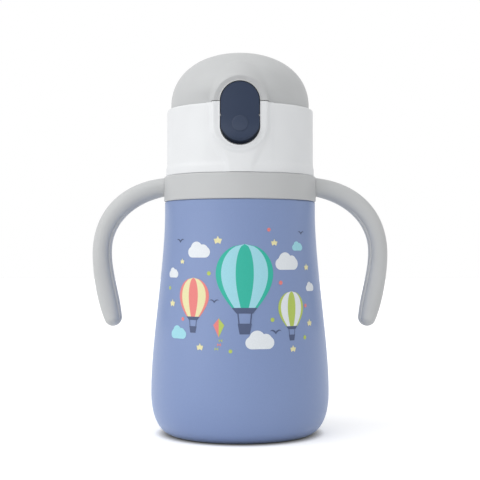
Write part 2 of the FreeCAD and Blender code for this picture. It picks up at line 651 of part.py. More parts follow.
def faired_round():
    """The dome's outer form with the fairing that carries the island's arch back into it."""
    grow = 2 * FAIRING_GROWTH
    back_y = -PAD_R + FAIRING_LENGTH
    width = PAD_W - 2 * FAIRING_TUCK
    front = obround_wire(width, PAD_H, PAD_Z, -PAD_R)
    back = obround_wire(width + grow, PAD_H + grow, PAD_Z, back_y)
    cone = Part.makeLoft([front, back], True)
    low = COLLAR_RIM_Z - SKIRT_LAP
    cone = cone.common(drum(PAD_R - FAIRING_STEP, low, CLEAR_Z))
    blended = dome_round(0).fuse(cone).removeSplitter()
    seams = [edge for edge in blended.Edges if is_fairing_seam(edge.BoundBox, back_y)]
    return blended.makeFillet(FAIRING_BLEND_R, seams).common(fairing_limit())


def fairing_limit():
    """A round that is as wide as the dome's foot and opens upwards, so that the fairing starts there."""
    foot_z = DOME_SPRING_Z
    full_z = foot_z + FAIRING_RISE
    middle_z = (foot_z + full_z) / 2
    edges = polyline((0, COLLAR_RIM_Z), (DOME_R, COLLAR_RIM_Z), (DOME_R, foot_z))
    edges.append(curve((DOME_R, foot_z), (DOME_R, middle_z), (PAD_R, middle_z), (PAD_R, full_z)))
    edges += polyline((PAD_R, full_z), (PAD_R, CLEAR_Z), (0, CLEAR_Z), (0, COLLAR_RIM_Z))
    return turned(edges)


def is_fairing_seam(box, back_y):
    """True for the long arched edge where the fairing meets the dome."""
    inside = box.YMin > -PAD_R + FAIRING_LENGTH / 3 and box.YMax < back_y
    return inside and box.XLength > PAD_W and box.ZLength > PAD_W / 2


def ear(side):
    """One of the dome's two hinge ears."""
    x_from = EAR_INNER_X if side > 0 else -EAR_OUTER_X
    inner_y = DOME_R - DOME_WALL
    outline = [Vec(x_from, inner_y, HINGE_Z - KNUCKLE_R / 2), Vec(x_from, HINGE_Y, HINGE_Z - KNUCKLE_R),
               Vec(x_from, HINGE_Y, HINGE_Z + KNUCKLE_R), Vec(x_from, inner_y, HINGE_Z + 2 * KNUCKLE_R)]
    arm = Part.Face(Part.makePolygon(outline + [outline[0]])).extrude(Vec(EAR_W, 0, 0))
    return arm.fuse(cross_rod(KNUCKLE_R, x_from, x_from + EAR_W, HINGE_Y, HINGE_Z))


def make_dome_cover():
    seam = PAD_SPLIT_Z + SEAM_GAP
    above = drum(CLEAR, seam, CLEAR_Z)
    skin = dome_round(0).fuse([faired_round().common(above), island(seam, CLEAR_Z)])
    cover = skin.cut(dome_round(DOME_WALL))
    cover = cover.fuse(pocket_housing(seam, CLEAR_Z, skin))
    cover = cover.cut(pocket(seam, CLEAR_Z, POCKET_Y))
    half = PAD_W / 2 + MOVING_GAP
    cover = cover.cut(block((-half, -CLEAR, 0), (half, -DOME_R / 2, seam)))
    catch_half = HOOK_W / 2 + MOVING_GAP
    catch_y = HOOK_REACH_Y - MOVING_GAP
    catch_top = HOOK_Z - MOVING_GAP
    catch = block((-catch_half, -catch_y, catch_top - CATCH_T),
                  (catch_half, -POCKET_Y + POCKET_WALL / 2, catch_top))
    cover = cover.fuse([catch, ear(-1), ear(1)])
    cover = cover.cut(cross_rod(HINGE_PIN_R + RUNNING_GAP, -CLEAR, CLEAR, HINGE_Y, HINGE_Z))
    return cover.removeSplitter()


def make_dome_bumper():
    """The soft pad inside the dome that keeps the folded spout down."""
    post = drum(BUMPER_R, DOME_SPRING_Z, CLEAR_Z, 0, -BUMPER_Y)
    return post.common(dome_round(DOME_WALL + FIXED_GAP)).cut(dome_round(DOME_WALL + BUMPER_T))


# ---------------------------------------------------------------- button
def button_skin(lift):
    """The curved rocker plate as a full round: upright above the pivot and swelling out below it."""
    top = BUTTON_Z + BUTTON_H
    bottom = BUTTON_Z - BUTTON_H
    low_z = BUTTON_Z - BUTTON_H / 2
    face = BUTTON_R + lift
    swell = face + BUTTON_SWELL
    middle = (BUTTON_PIVOT_Z + low_z) / 2
    front = [line((face, top), (face, BUTTON_PIVOT_Z)),
             curve((face, BUTTON_PIVOT_Z), (face, middle), (swell, middle), (swell, low_z + BUTTON_T)),
             curve((swell, low_z + BUTTON_T), (swell, low_z), (face, low_z - BUTTON_T), (face, bottom))]
    back_r = BUTTON_R - BUTTON_T
    back = polyline((face, bottom), (BUTTON_FOOT_R, bottom), (BUTTON_FOOT_R, low_z),
                    (back_r, BUTTON_PIVOT_Z), (back_r, top), (face, top))
    return turned(front + back)


def button_prism():
    """The button's obround, with a lower wall that slopes back under the face."""
    front_y = BUTTON_R + BUTTON_SWELL + BUTTON_DISC_T
    face_h = BUTTON_H - BUTTON_FOOT_RAISE
    face = obround_wire(BUTTON_W, face_h, BUTTON_Z + BUTTON_FOOT_RAISE / 2, -front_y)
    back = obround_wire(BUTTON_W, BUTTON_H, BUTTON_Z, -BUTTON_FOOT_R)
    rear = obround(BUTTON_W, BUTTON_H, BUTTON_Z, -BUTTON_FOOT_R, -BUTTON_FOOT_R / 2)
    return Part.makeLoft([face, back], True, True).fuse(rear)


def make_push_button():
    plate = button_prism().common(button_skin(0))
    disc = Part.makeCylinder(BUTTON_DISC_R, CLEAR, Vec(0, -CLEAR - BUTTON_R / 2, BUTTON_DISC_Z), Y_AXIS)
    button = plate.fuse(disc.common(button_skin(BUTTON_DISC_T)))
    for side in (-1, 1):
        tip = side * (BUTTON_W / 2 - BUTTON_NOTCH)
        out = side * (BUTTON_W / 2 + BUTTON_NOTCH)
        corners = [Vec(tip, -CLEAR, BUTTON_PIVOT_Z), Vec(out, -CLEAR, BUTTON_PIVOT_Z + 2 * BUTTON_NOTCH),
                   Vec(out, -CLEAR, BUTTON_PIVOT_Z - 2 * BUTTON_NOTCH), Vec(tip, -CLEAR, BUTTON_PIVOT_Z)]
        notch = Part.Face(Part.makePolygon(corners)).extrude(Vec(0, CLEAR, 0))
        button = button.cut(notch)
        x_from = side * BUTTON_LUG_X - BUTTON_LUG_W / 2
        lug_r = 2 * BUTTON_PIN_R
        back_y = -BUTTON_R + BUTTON_T / 2
        lug = cross_rod(lug_r, x_from, x_from + BUTTON_LUG_W, -BUTTON_PIVOT_Y, BUTTON_PIVOT_Z)
        stub = block((x_from, back_y, BUTTON_PIVOT_Z - lug_r),
                     (x_from + BUTTON_LUG_W, -BUTTON_PIVOT_Y, BUTTON_PIVOT_Z + lug_r))
        button = button.fuse([lug, stub.cut(button_air())])
    hook = block((-HOOK_W / 2, -BUTTON_R + BUTTON_T / 2, HOOK_Z),
                 (HOOK_W / 2, -HOOK_REACH_Y, HOOK_Z + HOOK_T))
    button = button.fuse(hook)
    pin_r = BUTTON_PIN_R + RUNNING_GAP
    button = button.cut(cross_rod(pin_r, -CLEAR, CLEAR, -BUTTON_PIVOT_Y, BUTTON_PIVOT_Z))
    return button.removeSplitter()


def button_air():
    """Everything in front of the button's upper face."""
    return drum(CLEAR, 0, CLEAR_Z).cut(drum(BUTTON_R - BUTTON_T / 2, 0, CLEAR_Z))


def make_button_spring():
    """A small compression coil between the pocket's floor and the button's lower half."""
    length = BUTTON_R - BUTTON_T - POCKET_Y - 2 * BUTTON_SPRING_WIRE_R
    spring = coil(BUTTON_SPRING_R, BUTTON_SPRING_WIRE_R, BUTTON_SPRING_TURNS, length - RUNNING_GAP)
    spring.rotate(ORIGIN, X_AXIS, 90)
    spring.translate(Vec(0, -POCKET_Y - BUTTON_SPRING_WIRE_R, BUTTON_SPRING_Z))
    return spring


# ---------------------------------------------------------------- hinge spring
def make_hinge_spring():
    """A torsion coil on the hinge pin, with one leg up the dome and one down to the collar."""
    wire_d = 2 * HINGE_SPRING_WIRE_R
    length = 2 * EAR_INNER_X - 4 * wire_d
    pitch = length / HINGE_SPRING_TURNS
    around = 2 * math.pi * HINGE_SPRING_R
    slope = pitch / math.hypot(pitch, around)
    level = around / math.hypot(pitch, around)
    helix = Part.makeHelix(pitch, length, HINGE_SPRING_R)
    first = Vec(HINGE_SPRING_R, 0, 0)
    last = Vec(HINGE_SPRING_R, 0, length)
    along = Vec(0, level, slope)
    up_end = first - along * DOME_LEG
    down_end = last + along * COLLAR_LEG
    legs = [Part.LineSegment(up_end, first).toShape(), Part.LineSegment(last, down_end).toShape()]
    path = Part.Wire([legs[0]] + helix.Edges + [legs[1]])
    ring = Part.Wire([Part.Circle(up_end, along, HINGE_SPRING_WIRE_R).toShape()])
    spring = path.makePipeShell([ring], True, False)
    turn = FreeCAD.Rotation(Vec(0, -1, 0), Vec(0, 0, -1), X_AXIS, "ZXY")
    spring.Placement = FreeCAD.Placement(Vec(-length / 2, HINGE_Y, HINGE_Z), turn)
    return spring


# ---------------------------------------------------------------- deck and soft parts
def make_lid_deck():
    """The plate under the collar's web, with a spigot that enters the flask's mouth."""
    low = DECK_Z
    top = DECK_TOP_Z
    boss_r = WEB_HOLE_R - MOVING_GAP
    spigot_in = DECK_SPIGOT_R - DECK_SPIGOT_T
    spigot_low = low - DECK_SPIGOT_DEPTH
    deck = turned_polygon((0, low), (spigot_in, low), (spigot_in, spigot_low), (DECK_SPIGOT_R, spigot_low),
                          (DECK_SPIGOT_R, low), (DECK_R, low), (DECK_R, WEB_Z), (boss_r, WEB_Z),
                          (boss_r, top), (0, top))
    return deck.cut([drum(SPOUT_STEM_R + FIXED_GAP, 0, CLEAR_Z, 0, SPOUT_Y),
                     drum(VENT_STEM_R + FIXED_GAP, 0, CLEAR_Z, VENT_X, VENT_Y)])


def make_lid_gasket():
    """The seal between the deck and the flask's lip."""
    low = NECK_TOP_Z + LIP_T
    return drum(NECK_R, low, DECK_Z).cut(drum(DECK_SPIGOT_R + FIXED_GAP, low, DECK_Z))


def make_spout_base():
    """The silicone boot in the deck, with a round top that the mouthpiece bends over."""
    flange_low = DECK_Z - SPOUT_FLANGE_T
    flange_top = DECK_TOP_Z + SPOUT_FLANGE_T
    edge_r = SPOUT_FLANGE_R - SPOUT_FLANGE_EDGE
    boot = turned_polygon((0, flange_low), (edge_r, flange_low), (SPOUT_FLANGE_R, DECK_Z),
                          (SPOUT_STEM_R, DECK_Z), (SPOUT_STEM_R, DECK_TOP_Z), (SPOUT_FLANGE_R, DECK_TOP_Z),
                          (edge_r, flange_top), (SPOUT_BALL_R, flange_top),
                          (SPOUT_BALL_R, SPOUT_PIVOT_Z), (0, SPOUT_PIVOT_Z))
    boot = boot.fuse(Part.makeSphere(SPOUT_BALL_R, Vec(0, 0, SPOUT_PIVOT_Z)))
    boot = boot.cut([drum(SPOUT_BORE_R, 0, CLEAR_Z), drum(STRAW_R + FIXED_GAP, 0, DECK_TOP_Z)])
    boot.translate(Vec(0, SPOUT_Y, 0))
    return boot.removeSplitter()


def make_spout_mouthpiece():
    """The upper spout, folded forwards over the ball under the closed dome."""
    base_r = SPOUT_BALL_R + 2 * MOVING_GAP
    start = SPOUT_START
    end = SPOUT_LENGTH
    waist = SPOUT_WAIST_UP
    collar = start + SPOUT_RIM_T
    lip = end - SPOUT_TIP_R / 2
    mouth_r = (SPOUT_TIP_R + SPOUT_BORE_R) / 2
    edges = polyline((0, start), (base_r, start), (base_r, collar))
    edges.append(curve((base_r, collar), (base_r, waist / 2),
                       (SPOUT_WAIST_R, waist / 2), (SPOUT_WAIST_R, waist)))
    edges.append(curve((SPOUT_WAIST_R, waist), (SPOUT_WAIST_R, (waist + lip) / 2),
                       (SPOUT_TIP_R, (waist + lip) / 2), (SPOUT_TIP_R, lip)))
    edges.append(curve((SPOUT_TIP_R, lip), (SPOUT_TIP_R, end), (mouth_r, end)))
    edges += polyline((mouth_r, end), (0, end), (0, start))
    ball = Part.makeSphere(SPOUT_BALL_R + MOVING_GAP)
    spout = turned(edges).cut([drum(SPOUT_BORE_R, -CLEAR, CLEAR), ball])
    spout.rotate(ORIGIN, X_AXIS, SPOUT_FOLD_DEG)
    spout.translate(Vec(0, SPOUT_Y, SPOUT_PIVOT_Z))
    return spout


def make_straw_tube():
    """The straw, cut at a slant near the flask's floor."""
    top = DECK_TOP_Z - MOVING_GAP
    tube = drum(STRAW_R, STRAW_FOOT_Z, top, 0, SPOUT_Y)
    tube = tube.cut(drum(STRAW_R - STRAW_WALL, 0, CLEAR_Z, 0, SPOUT_Y))
    slant = block((-CLEAR, -CLEAR, -CLEAR), (CLEAR, CLEAR, 0))
    slant.rotate(ORIGIN, X_AXIS, STRAW_SLANT_DEG)
    slant.translate(Vec(0, SPOUT_Y, STRAW_FOOT_Z + STRAW_R))
    return tube.cut(slant)


def make_vent_valve():
    """An umbrella valve in the deck."""
    low = DECK_Z
    top = DECK_TOP_Z
    valve = turned_polygon((0, low - VENT_CAP_T), (VENT_STEM_R, low - VENT_CAP_T), (VENT_STOP_R, low),
                           (VENT_STEM_R, low), (VENT_STEM_R, top), (VENT_CAP_R, top),
                           (VENT_CAP_R, top + VENT_CAP_T / 2), (VENT_STEM_R, top + VENT_CAP_T),
                           (0, top + VENT_CAP_T))
    valve.translate(Vec(VENT_X, VENT_Y, 0))
    return valve


def main():
    os.makedirs("parts", exist_ok=True)
    save(make_outer_shell(), "outer_shell")
    save(make_inner_flask(), "inner_flask")
    save(make_base_cap(), "base_cap")
    save(make_vacuum_getter(), "vacuum_getter")
    save(make_handle_ring(), "handle_ring")
    save(make_handle(-1), "left_handle")
    save(make_handle(1), "right_handle")
    save(make_lid_gasket(), "lid_gasket")
    save(make_lid_collar(), "lid_collar")
    save(make_lid_deck(), "lid_deck")
    save(make_spout_base(), "spout_base")
    save(make_spout_mouthpiece(), "spout_mouthpiece")
    save(make_straw_tube(), "straw_tube")
    save(make_vent_valve(), "vent_valve")
    save(make_dome_cover(), "dome_cover")
    save(make_dome_bumper(), "dome_bumper")
    save(cross_rod(HINGE_PIN_R, -KNUCKLE_OUTER_X, KNUCKLE_OUTER_X, HINGE_Y, HINGE_Z), "hinge_pin")
    save(make_hinge_spring(), "hinge_spring")
    save(make_push_button(), "push_button")
    pin_end = BUTTON_PIN_X - FIXED_GAP
    save(cross_rod(BUTTON_PIN_R, -pin_end, pin_end, -BUTTON_PIVOT_Y, BUTTON_PIVOT_Z), "button_pin")
    save(make_button_spring(), "button_spring")


main()
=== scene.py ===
import bisect
import math

import bmesh
import bpy
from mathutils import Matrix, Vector


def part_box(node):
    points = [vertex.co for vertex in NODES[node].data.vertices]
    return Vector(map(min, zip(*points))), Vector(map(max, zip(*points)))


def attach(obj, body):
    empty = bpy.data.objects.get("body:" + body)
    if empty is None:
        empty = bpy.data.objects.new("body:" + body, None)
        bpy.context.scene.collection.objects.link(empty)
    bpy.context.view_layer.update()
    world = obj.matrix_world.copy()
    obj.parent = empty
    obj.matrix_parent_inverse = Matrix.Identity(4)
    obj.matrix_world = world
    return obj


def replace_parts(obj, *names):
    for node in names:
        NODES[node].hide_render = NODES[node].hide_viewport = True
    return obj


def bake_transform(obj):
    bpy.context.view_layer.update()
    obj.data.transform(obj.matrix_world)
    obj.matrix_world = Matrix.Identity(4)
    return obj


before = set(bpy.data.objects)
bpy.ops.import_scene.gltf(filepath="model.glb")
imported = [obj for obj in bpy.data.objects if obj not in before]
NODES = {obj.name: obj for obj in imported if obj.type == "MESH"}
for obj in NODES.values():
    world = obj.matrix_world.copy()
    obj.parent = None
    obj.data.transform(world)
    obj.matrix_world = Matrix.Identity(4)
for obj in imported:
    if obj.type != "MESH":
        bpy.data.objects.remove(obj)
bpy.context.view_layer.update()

MM = 0.001
PICTURE_PIXELS = 480

# ---- box corners in millimetres, read from the parts in model.glb ----
SHELL_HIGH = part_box("outer_shell")[1] / MM
RING_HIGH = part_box("handle_ring")[1] / MM
GRIP_LOW, GRIP_HIGH = [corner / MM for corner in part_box("right_handle")]
DECK_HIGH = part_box("lid_deck")[1] / MM
STRAW_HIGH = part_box("straw_tube")[1] / MM
BOOT_LOW, BOOT_HIGH = [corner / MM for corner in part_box("spout_base")]


# ---- mesh helpers ----
MERGE_DISTANCE = 0.002  # points nearer than this are one point
CIRCLE_STEPS = 28
LEAST_STEP = 0.0001  # keeps a division by a height from failing


def place(name, data):
    """A new object in the scene."""
    thing = bpy.data.objects.new(name, data)
    bpy.context.scene.collection.objects.link(thing)
    return thing


def new_mesh(name, vertices, faces, material, smooth=True):
    """A mesh object from millimetre coordinates."""
    mesh = bpy.data.meshes.new(name)
    mesh.from_pydata([Vector(vertex) * MM for vertex in vertices], [], faces)
    mesh.update()
    mesh.polygons.foreach_set("use_smooth", [smooth] * len(mesh.polygons))
    mesh.materials.append(material)
    return place(name, mesh)


def tidy_normals(thing):
    """Merge touching points and turn every face outwards."""
    work = bmesh.new()
    work.from_mesh(thing.data)
    bmesh.ops.remove_doubles(work, verts=work.verts, dist=MERGE_DISTANCE * MM)
    bmesh.ops.recalc_face_normals(work, faces=work.faces)
    work.to_mesh(thing.data)
    work.free()


def face_outwards(work):
    """Turn the faces of a bmesh whose normal points to the object's axis."""
    work.normal_update()
    for face in work.faces:
        centre = face.calc_center_median()
        if face.normal.dot(Vector((centre.x, centre.y, 0))) < 0:
            face.normal_flip()


def skin(rings, close_along=False):
    """Points and faces of a surface through rings that have the same number of points."""
    count = len(rings[0])
    points = [point for ring in rings for point in ring]
    pairs = list(zip(range(len(rings)), range(1, len(rings))))
    if close_along:
        pairs.append((len(rings) - 1, 0))
    faces = []
    for near, far in pairs:
        for step in range(count):
            after = (step + 1) % count
            faces.append((near * count + step, near * count + after,
                          far * count + after, far * count + step))
    return points, faces


def between(first, last, share):
    """The value that lies this share of the way from first to last."""
    return first + (last - first) * share


def radius_at(profile, z):
    """The radius at a height, between the (height, radius) points of a profile."""
    after = min(bisect.bisect(profile, (z, 0.0)), len(profile) - 1)
    (low_z, low_r), (high_z, high_r) = profile[after - 1], profile[after]
    return between(low_r, high_r, (z - low_z) / max(high_z - low_z, LEAST_STEP))


def cell(row, after, column, wide):
    """The corners of one cell between two rows of a grid that is wide points across."""
    return (row * wide + column, row * wide + column + 1, after * wide + column + 1, after * wide + column)


def cubic(points, steps):
    """Points along a cubic curve, both ends included."""
    found = []
    for step in range(steps + 1):
        t = step / steps
        weights = ((1 - t) ** 3, 3 * t * (1 - t) ** 2, 3 * t * t * (1 - t), t ** 3)
        found.append(tuple(sum(w * p[axis] for w, p in zip(weights, points)) for axis in range(2)))
    return found


def bend(start, start_deg, start_pull, end, end_deg, end_pull):
    """Control points of a curve that leaves start and reaches end along these headings."""
    leave = math.radians(start_deg)
    reach = math.radians(end_deg)
    first = (start[0] + start_pull * math.cos(leave), start[1] + start_pull * math.sin(leave))
    last = (end[0] - end_pull * math.cos(reach), end[1] - end_pull * math.sin(reach))
    return (start, first, last, end)


def circle(x, z, radius, steps=CIRCLE_STEPS):
    """The corners of a circle in the front plane."""
    angles = [math.tau * step / steps for step in range(steps)]
    return [(x + radius * math.cos(angle), z + radius * math.sin(angle)) for angle in angles]


def smoothstep(low, high, value):
    """0 up to low, 1 from high on, and a soft slope between them."""
    t = min(max((value - low) / (high - low), 0.0), 1.0)
    return t * t * (3 - 2 * t)


# ---- materials ----
NOISE_MIDDLE = (0.3, 0.7)  # most of a noise's values lie between these
DRIFT_WAVES = 55.0  # slow shade drift; every WAVES is in waves per metre
PEEL_WAVES = 900.0  # the powder coat's orange peel
SPECK_WAVES = 4200.0  # its speckle of pigment
INK_WAVES = 2600.0
LATHE_WAVES = 60.0  # turned lines, before they are stretched round the axis
LATHE_STRETCH = (1, 1, 45)
STEEL_DRIFT_WAVES = 25.0
STRAW_DRIFT_WAVES = 60.0
FROST_WAVES = 1500.0
WAVE_BUMP = (0.05, 0.3)  # every BUMP is a depth in millimetres and a strength
STRAW_BUMP = (0.05, 0.4)
PEEL_BUMP = (0.012, 0.35)
SPECK_BUMP = (0.006, 0.5)
LATHE_BUMP = (0.01, 0.3)
GRAIN_STRENGTH = 0.6
GRAIN_ROUGHNESS = 0.05  # how far the grain moves a moulding's roughness each way
LATHE_ROUGHNESS = (-0.08, 0.1)  # what the turned lines add to the steel's
COAT_ROUGHNESS = (0.36, 0.44)
INK_ROUGHNESS = (0.45, 0.58)
STRAW_ROUGHNESS = (0.18, 0.3)
PLASTIC_DRIFT = 0.02  # share by which the colour drifts each way
COAT_DRIFT = 0.035
INK_DRIFT = 0.03
STEEL_DRIFT = 0.04
SOFT_REACH = 2.0  # how far light spreads inside silicone, in millimetres
STRAW_CLEAR = 0.55  # share of light that passes through
COAT_SHEEN = {"Specular IOR Level": 0.62, "Sheen Weight": 0.45, "Sheen Roughness": 0.35,
              "Sheen Tint": (0.62, 0.76, 1.0, 1.0)}


def start_material(name):
    """A new material with its node tree and its shader."""
    material = bpy.data.materials.new(name)
    material.use_nodes = True
    return material, material.node_tree, material.node_tree.nodes["Principled BSDF"]


def set_inputs(node, values):
    """Give a node's inputs their plain values."""
    for label, value in values.items():
        node.inputs[label].default_value = value


def noise(tree, scale, detail=2.0, stretch=(1, 1, 1)):
    """A noise in the piece's own metres; scale is in waves per metre."""
    where = tree.nodes.new("ShaderNodeTexCoord")
    mapping = tree.nodes.new("ShaderNodeMapping")
    set_inputs(mapping, {"Scale": stretch})
    texture = tree.nodes.new("ShaderNodeTexNoise")
    set_inputs(texture, {"Scale": scale, "Detail": detail})
    tree.links.new(where.outputs["Object"], mapping.inputs["Vector"])
    tree.links.new(mapping.outputs["Vector"], texture.inputs["Vector"])
    return texture.outputs["Fac"]


def remap(tree, source, low, high, middle=(0.0, 1.0)):
    """Stretch the values between two others over low to high."""
    node = tree.nodes.new("ShaderNodeMapRange")
    set_inputs(node, {"From Min": middle[0], "From Max": middle[1], "To Min": low, "To Max": high})
    tree.links.new(source, node.inputs["Value"])
    return node.outputs["Result"]


def paint(tree, shader, drifting, colour, drift, rough, low, high):
    """A colour that drifts a little lighter and darker with one noise, and roughness from another."""
    mix = tree.nodes.new("ShaderNodeMix")
    mix.data_type = "RGBA"
    set_inputs(mix, {"A": [channel * (1 - drift) for channel in colour] + [1.0],
                     "B": [min(channel * (1 + drift), 1.0) for channel in colour] + [1.0]})
    tree.links.new(remap(tree, drifting, 0.0, 1.0, NOISE_MIDDLE), mix.inputs["Factor"])
    tree.links.new(mix.outputs["Result"], shader.inputs["Base Color"])
    tree.links.new(remap(tree, rough, low, high, NOISE_MIDDLE), shader.inputs["Roughness"])


def add_bumps(tree, shader, *layers):
    """Stack bumps: each layer is a height source, a depth in millimetres and a strength."""
    normal = None
    for source, depth, strength in layers:
        bump = tree.nodes.new("ShaderNodeBump")
        set_inputs(bump, {"Distance": depth * MM, "Strength": strength})
        tree.links.new(source, bump.inputs["Height"])
        if normal is not None:
            tree.links.new(normal, bump.inputs["Normal"])
        normal = bump.outputs["Normal"]
    tree.links.new(normal, shader.inputs["Normal"])


def moulded(name, colour, roughness, grain=0.35, depth=0.012, soft=0.0, gloss=0.5):
    """Moulded plastic or silicone: a fine spark-eroded grain, slow waves and slight shade drift."""
    material, tree, shader = start_material(name)
    fine = noise(tree, 1 / (grain * MM), 3.0)
    slow = noise(tree, DRIFT_WAVES, 1.0)
    paint(tree, shader, slow, colour, PLASTIC_DRIFT,
          fine, roughness - GRAIN_ROUGHNESS, roughness + GRAIN_ROUGHNESS)
    add_bumps(tree, shader, (slow, *WAVE_BUMP), (fine, depth, GRAIN_STRENGTH))
    set_inputs(shader, {"Specular IOR Level": gloss, "Subsurface Weight": soft,
                        "Subsurface Scale": SOFT_REACH * MM, "Subsurface Radius": (1.0, 1.0, 1.0)})
    return material


def powder_coat(name, colour):
    """Satin powder coat on steel: orange peel, a fine speckle of pigment and a soft sheen."""
    material, tree, shader = start_material(name)
    peel = noise(tree, PEEL_WAVES)
    speck = noise(tree, SPECK_WAVES)
    paint(tree, shader, speck, colour, COAT_DRIFT, peel, *COAT_ROUGHNESS)
    add_bumps(tree, shader, (peel, *PEEL_BUMP), (speck, *SPECK_BUMP))
    set_inputs(shader, COAT_SHEEN)
    return material


def print_ink(name, colour):
    """Satin pad-printing ink, with the coat's orange peel showing through."""
    material, tree, shader = start_material(name)
    peel = noise(tree, PEEL_WAVES)
    paint(tree, shader, noise(tree, INK_WAVES), colour, INK_DRIFT, peel, *INK_ROUGHNESS)
    add_bumps(tree, shader, (peel, *PEEL_BUMP))
    return material


def brushed_steel(name, colour, roughness=0.3):
    """Stainless steel with fine turned lines round the axis."""
    material, tree, shader = start_material(name)
    lines = noise(tree, LATHE_WAVES, 4.0, LATHE_STRETCH)
    paint(tree, shader, noise(tree, STEEL_DRIFT_WAVES, 1.0), colour, STEEL_DRIFT,
          lines, *[roughness + change for change in LATHE_ROUGHNESS])
    add_bumps(tree, shader, (lines, *LATHE_BUMP))
    set_inputs(shader, {"Metallic": 1.0})
    return material


def clear_plastic(name, colour):
    """Frosted, slightly milky straw plastic."""
    material, tree, shader = start_material(name)
    slow = noise(tree, STRAW_DRIFT_WAVES, 1.0)
    paint(tree, shader, slow, colour, PLASTIC_DRIFT, noise(tree, FROST_WAVES), *STRAW_ROUGHNESS)
    add_bumps(tree, shader, (slow, *STRAW_BUMP))
    set_inputs(shader, {"Transmission Weight": STRAW_CLEAR})
    return material


GREY = moulded("grey_moulding", (0.545, 0.555, 0.56), 0.48)
WHITE = moulded("white_moulding", (0.80, 0.815, 0.83), 0.45)
# The two band materials are darker copies of the grey and white mouldings: painted shade on the island's
# dished band.
GREY_BAND_SHADED = moulded("grey_band_painted_shade", (0.505, 0.514, 0.52), 0.55)
WHITE_BAND_SHADED = moulded("white_band_painted_shade", (0.765, 0.78, 0.795), 0.52)
INNER_WHITE = moulded("deck_moulding", (0.74, 0.76, 0.79), 0.40)
NAVY = moulded("navy_button", (0.031, 0.046, 0.086), 0.45, grain=0.3, depth=0.010, gloss=0.22)
NAVY_DOT = moulded("navy_dot", (0.037, 0.053, 0.095), 0.42, grain=0.3, depth=0.006, gloss=0.25)
# A near-black navy laid on the button's lower sloping wall: painted shade.
NAVY_PAINTED_SHADE = moulded("navy_skirt_painted_shade", (0.007, 0.012, 0.024), 0.5, grain=0.3, depth=0.006, gloss=0.15)
BLUE = powder_coat("blue_powder_coat", (0.208, 0.287, 0.515))
STEEL = brushed_steel("turned_steel", (0.66, 0.66, 0.67))
SPRING_STEEL = brushed_steel("spring_wire", (0.52, 0.52, 0.55), 0.25)
GETTER = brushed_steel("getter_metal", (0.34, 0.34, 0.35), 0.5)
SILICONE = moulded("silicone", (0.82, 0.83, 0.84), 0.36, grain=0.6, depth=0.008, soft=0.5)
STRAW = clear_plastic("straw_plastic", (0.88, 0.90, 0.93))


def dress(material, *names):
    """Give CAD nodes their material."""
    for name in names:
        mesh = NODES[name].data
        mesh.materials.clear()
        mesh.materials.append(material)


dress(BLUE, "outer_shell")
dress(STEEL, "inner_flask", "base_cap", "hinge_pin", "button_pin")
dress(GETTER, "vacuum_getter")
dress(GREY, "handle_ring", "dome_cover", "left_handle", "right_handle")
dress(WHITE, "lid_collar")
dress(INNER_WHITE, "lid_deck")
dress(SILICONE, "lid_gasket", "spout_base", "spout_mouthpiece", "vent_valve", "dome_bumper")
dress(STRAW, "straw_tube")
dress(NAVY, "push_button")
dress(SPRING_STEEL, "hinge_spring", "button_spring")


# ---- handles ----
GRIP_T = 8.48  # the outline follows the CAD handle
ROOT_T = 8.3
ROOT_DROP = 0.2
ROOT_SINK = 0.6
OUTER_BEND_H = 34.65
INNER_BEND_H = 33.55
TIP_H = 63.25
TIP_IN = 9.2
TIP_R = 3.9
ROOT_FALL_DEG = 4.9
ROOT_RISE_DEG = 10.8
TIP_OUTER_DEG = 114
TIP_INNER_DEG = 276
OUTER_PULLS = (20.0, 20.1, 9.0, 8.5)  # how stiffly the outline leaves the root, reaches
INNER_PULLS = (14.9, 12.8, 9.9, 12.0)  # and leaves the bend, and reaches the tip
HALF_DEPTH = (GRIP_HIGH[1] - GRIP_LOW[1]) / 2
SECTION_POWER = 2.15  # 2 is an ellipse, and more is fuller
SECTION_STEPS = 44
CREASE_U = 0.865  # where across the handle the crease beside the inner lip lies
LIP_DEPTH = 0.56  # the lip's share of the half depth
LIP_SQUARE = 9  # more makes the lip's edge squarer
LIP_GROWS = (0.1, 0.42)  # shares of the handle's length between which the lip grows in
TIP_LEAST = 0.001  # the tip's last section keeps this share of the depth
ROOT_RIBS = 44
LOW_RIBS = 26
TIP_RIBS = 16


def handle_side(root, root_deg, turn, low, low_deg, pulls):
    """Points down one side of the handle, from the root round the bend to the tip."""
    upper = cubic(bend(root, root_deg, pulls[0], turn, -90, pulls[1]), ROOT_RIBS)
    return upper + cubic(bend(turn, -90, pulls[2], low, low_deg, pulls[3]), LOW_RIBS)[1:]


def handle_sides():
    """Matching points on the outer and the inner side, from the root to the round tip."""
    reach = GRIP_HIGH[0]
    top = RING_HIGH[2]
    root_x = math.sqrt(RING_HIGH[0] ** 2 - HALF_DEPTH ** 2) - ROOT_SINK
    root_z = top - ROOT_DROP
    outer = handle_side((root_x, root_z), -ROOT_FALL_DEG, (reach, top - OUTER_BEND_H),
                        tip_point(90 - TIP_OUTER_DEG), -TIP_OUTER_DEG, OUTER_PULLS)
    inner = handle_side((root_x, root_z - ROOT_T), -ROOT_RISE_DEG,
                        (reach - GRIP_T, top - INNER_BEND_H),
                        tip_point(90 - TIP_INNER_DEG), 180 - TIP_INNER_DEG, INNER_PULLS)
    return outer, inner


def tip_point(angle_deg):
    """A point on the handle's round tip."""
    angle = math.radians(angle_deg)
    centre = (GRIP_HIGH[0] - TIP_IN, RING_HIGH[2] - TIP_H)
    return (centre[0] + TIP_R * math.cos(angle), centre[1] + TIP_R * math.sin(angle))


def plain_half():
    """Half of a full oval section, as (share across from the outer side, share of the half depth)."""
    found = []
    for step in range(SECTION_STEPS + 1):
        angle = math.pi * step / SECTION_STEPS
        across = 0.5 - 0.5 * math.copysign(abs(math.cos(angle)) ** (2 / SECTION_POWER), math.cos(angle))
        found.append((across, math.sin(angle) ** (2 / SECTION_POWER)))
    return found


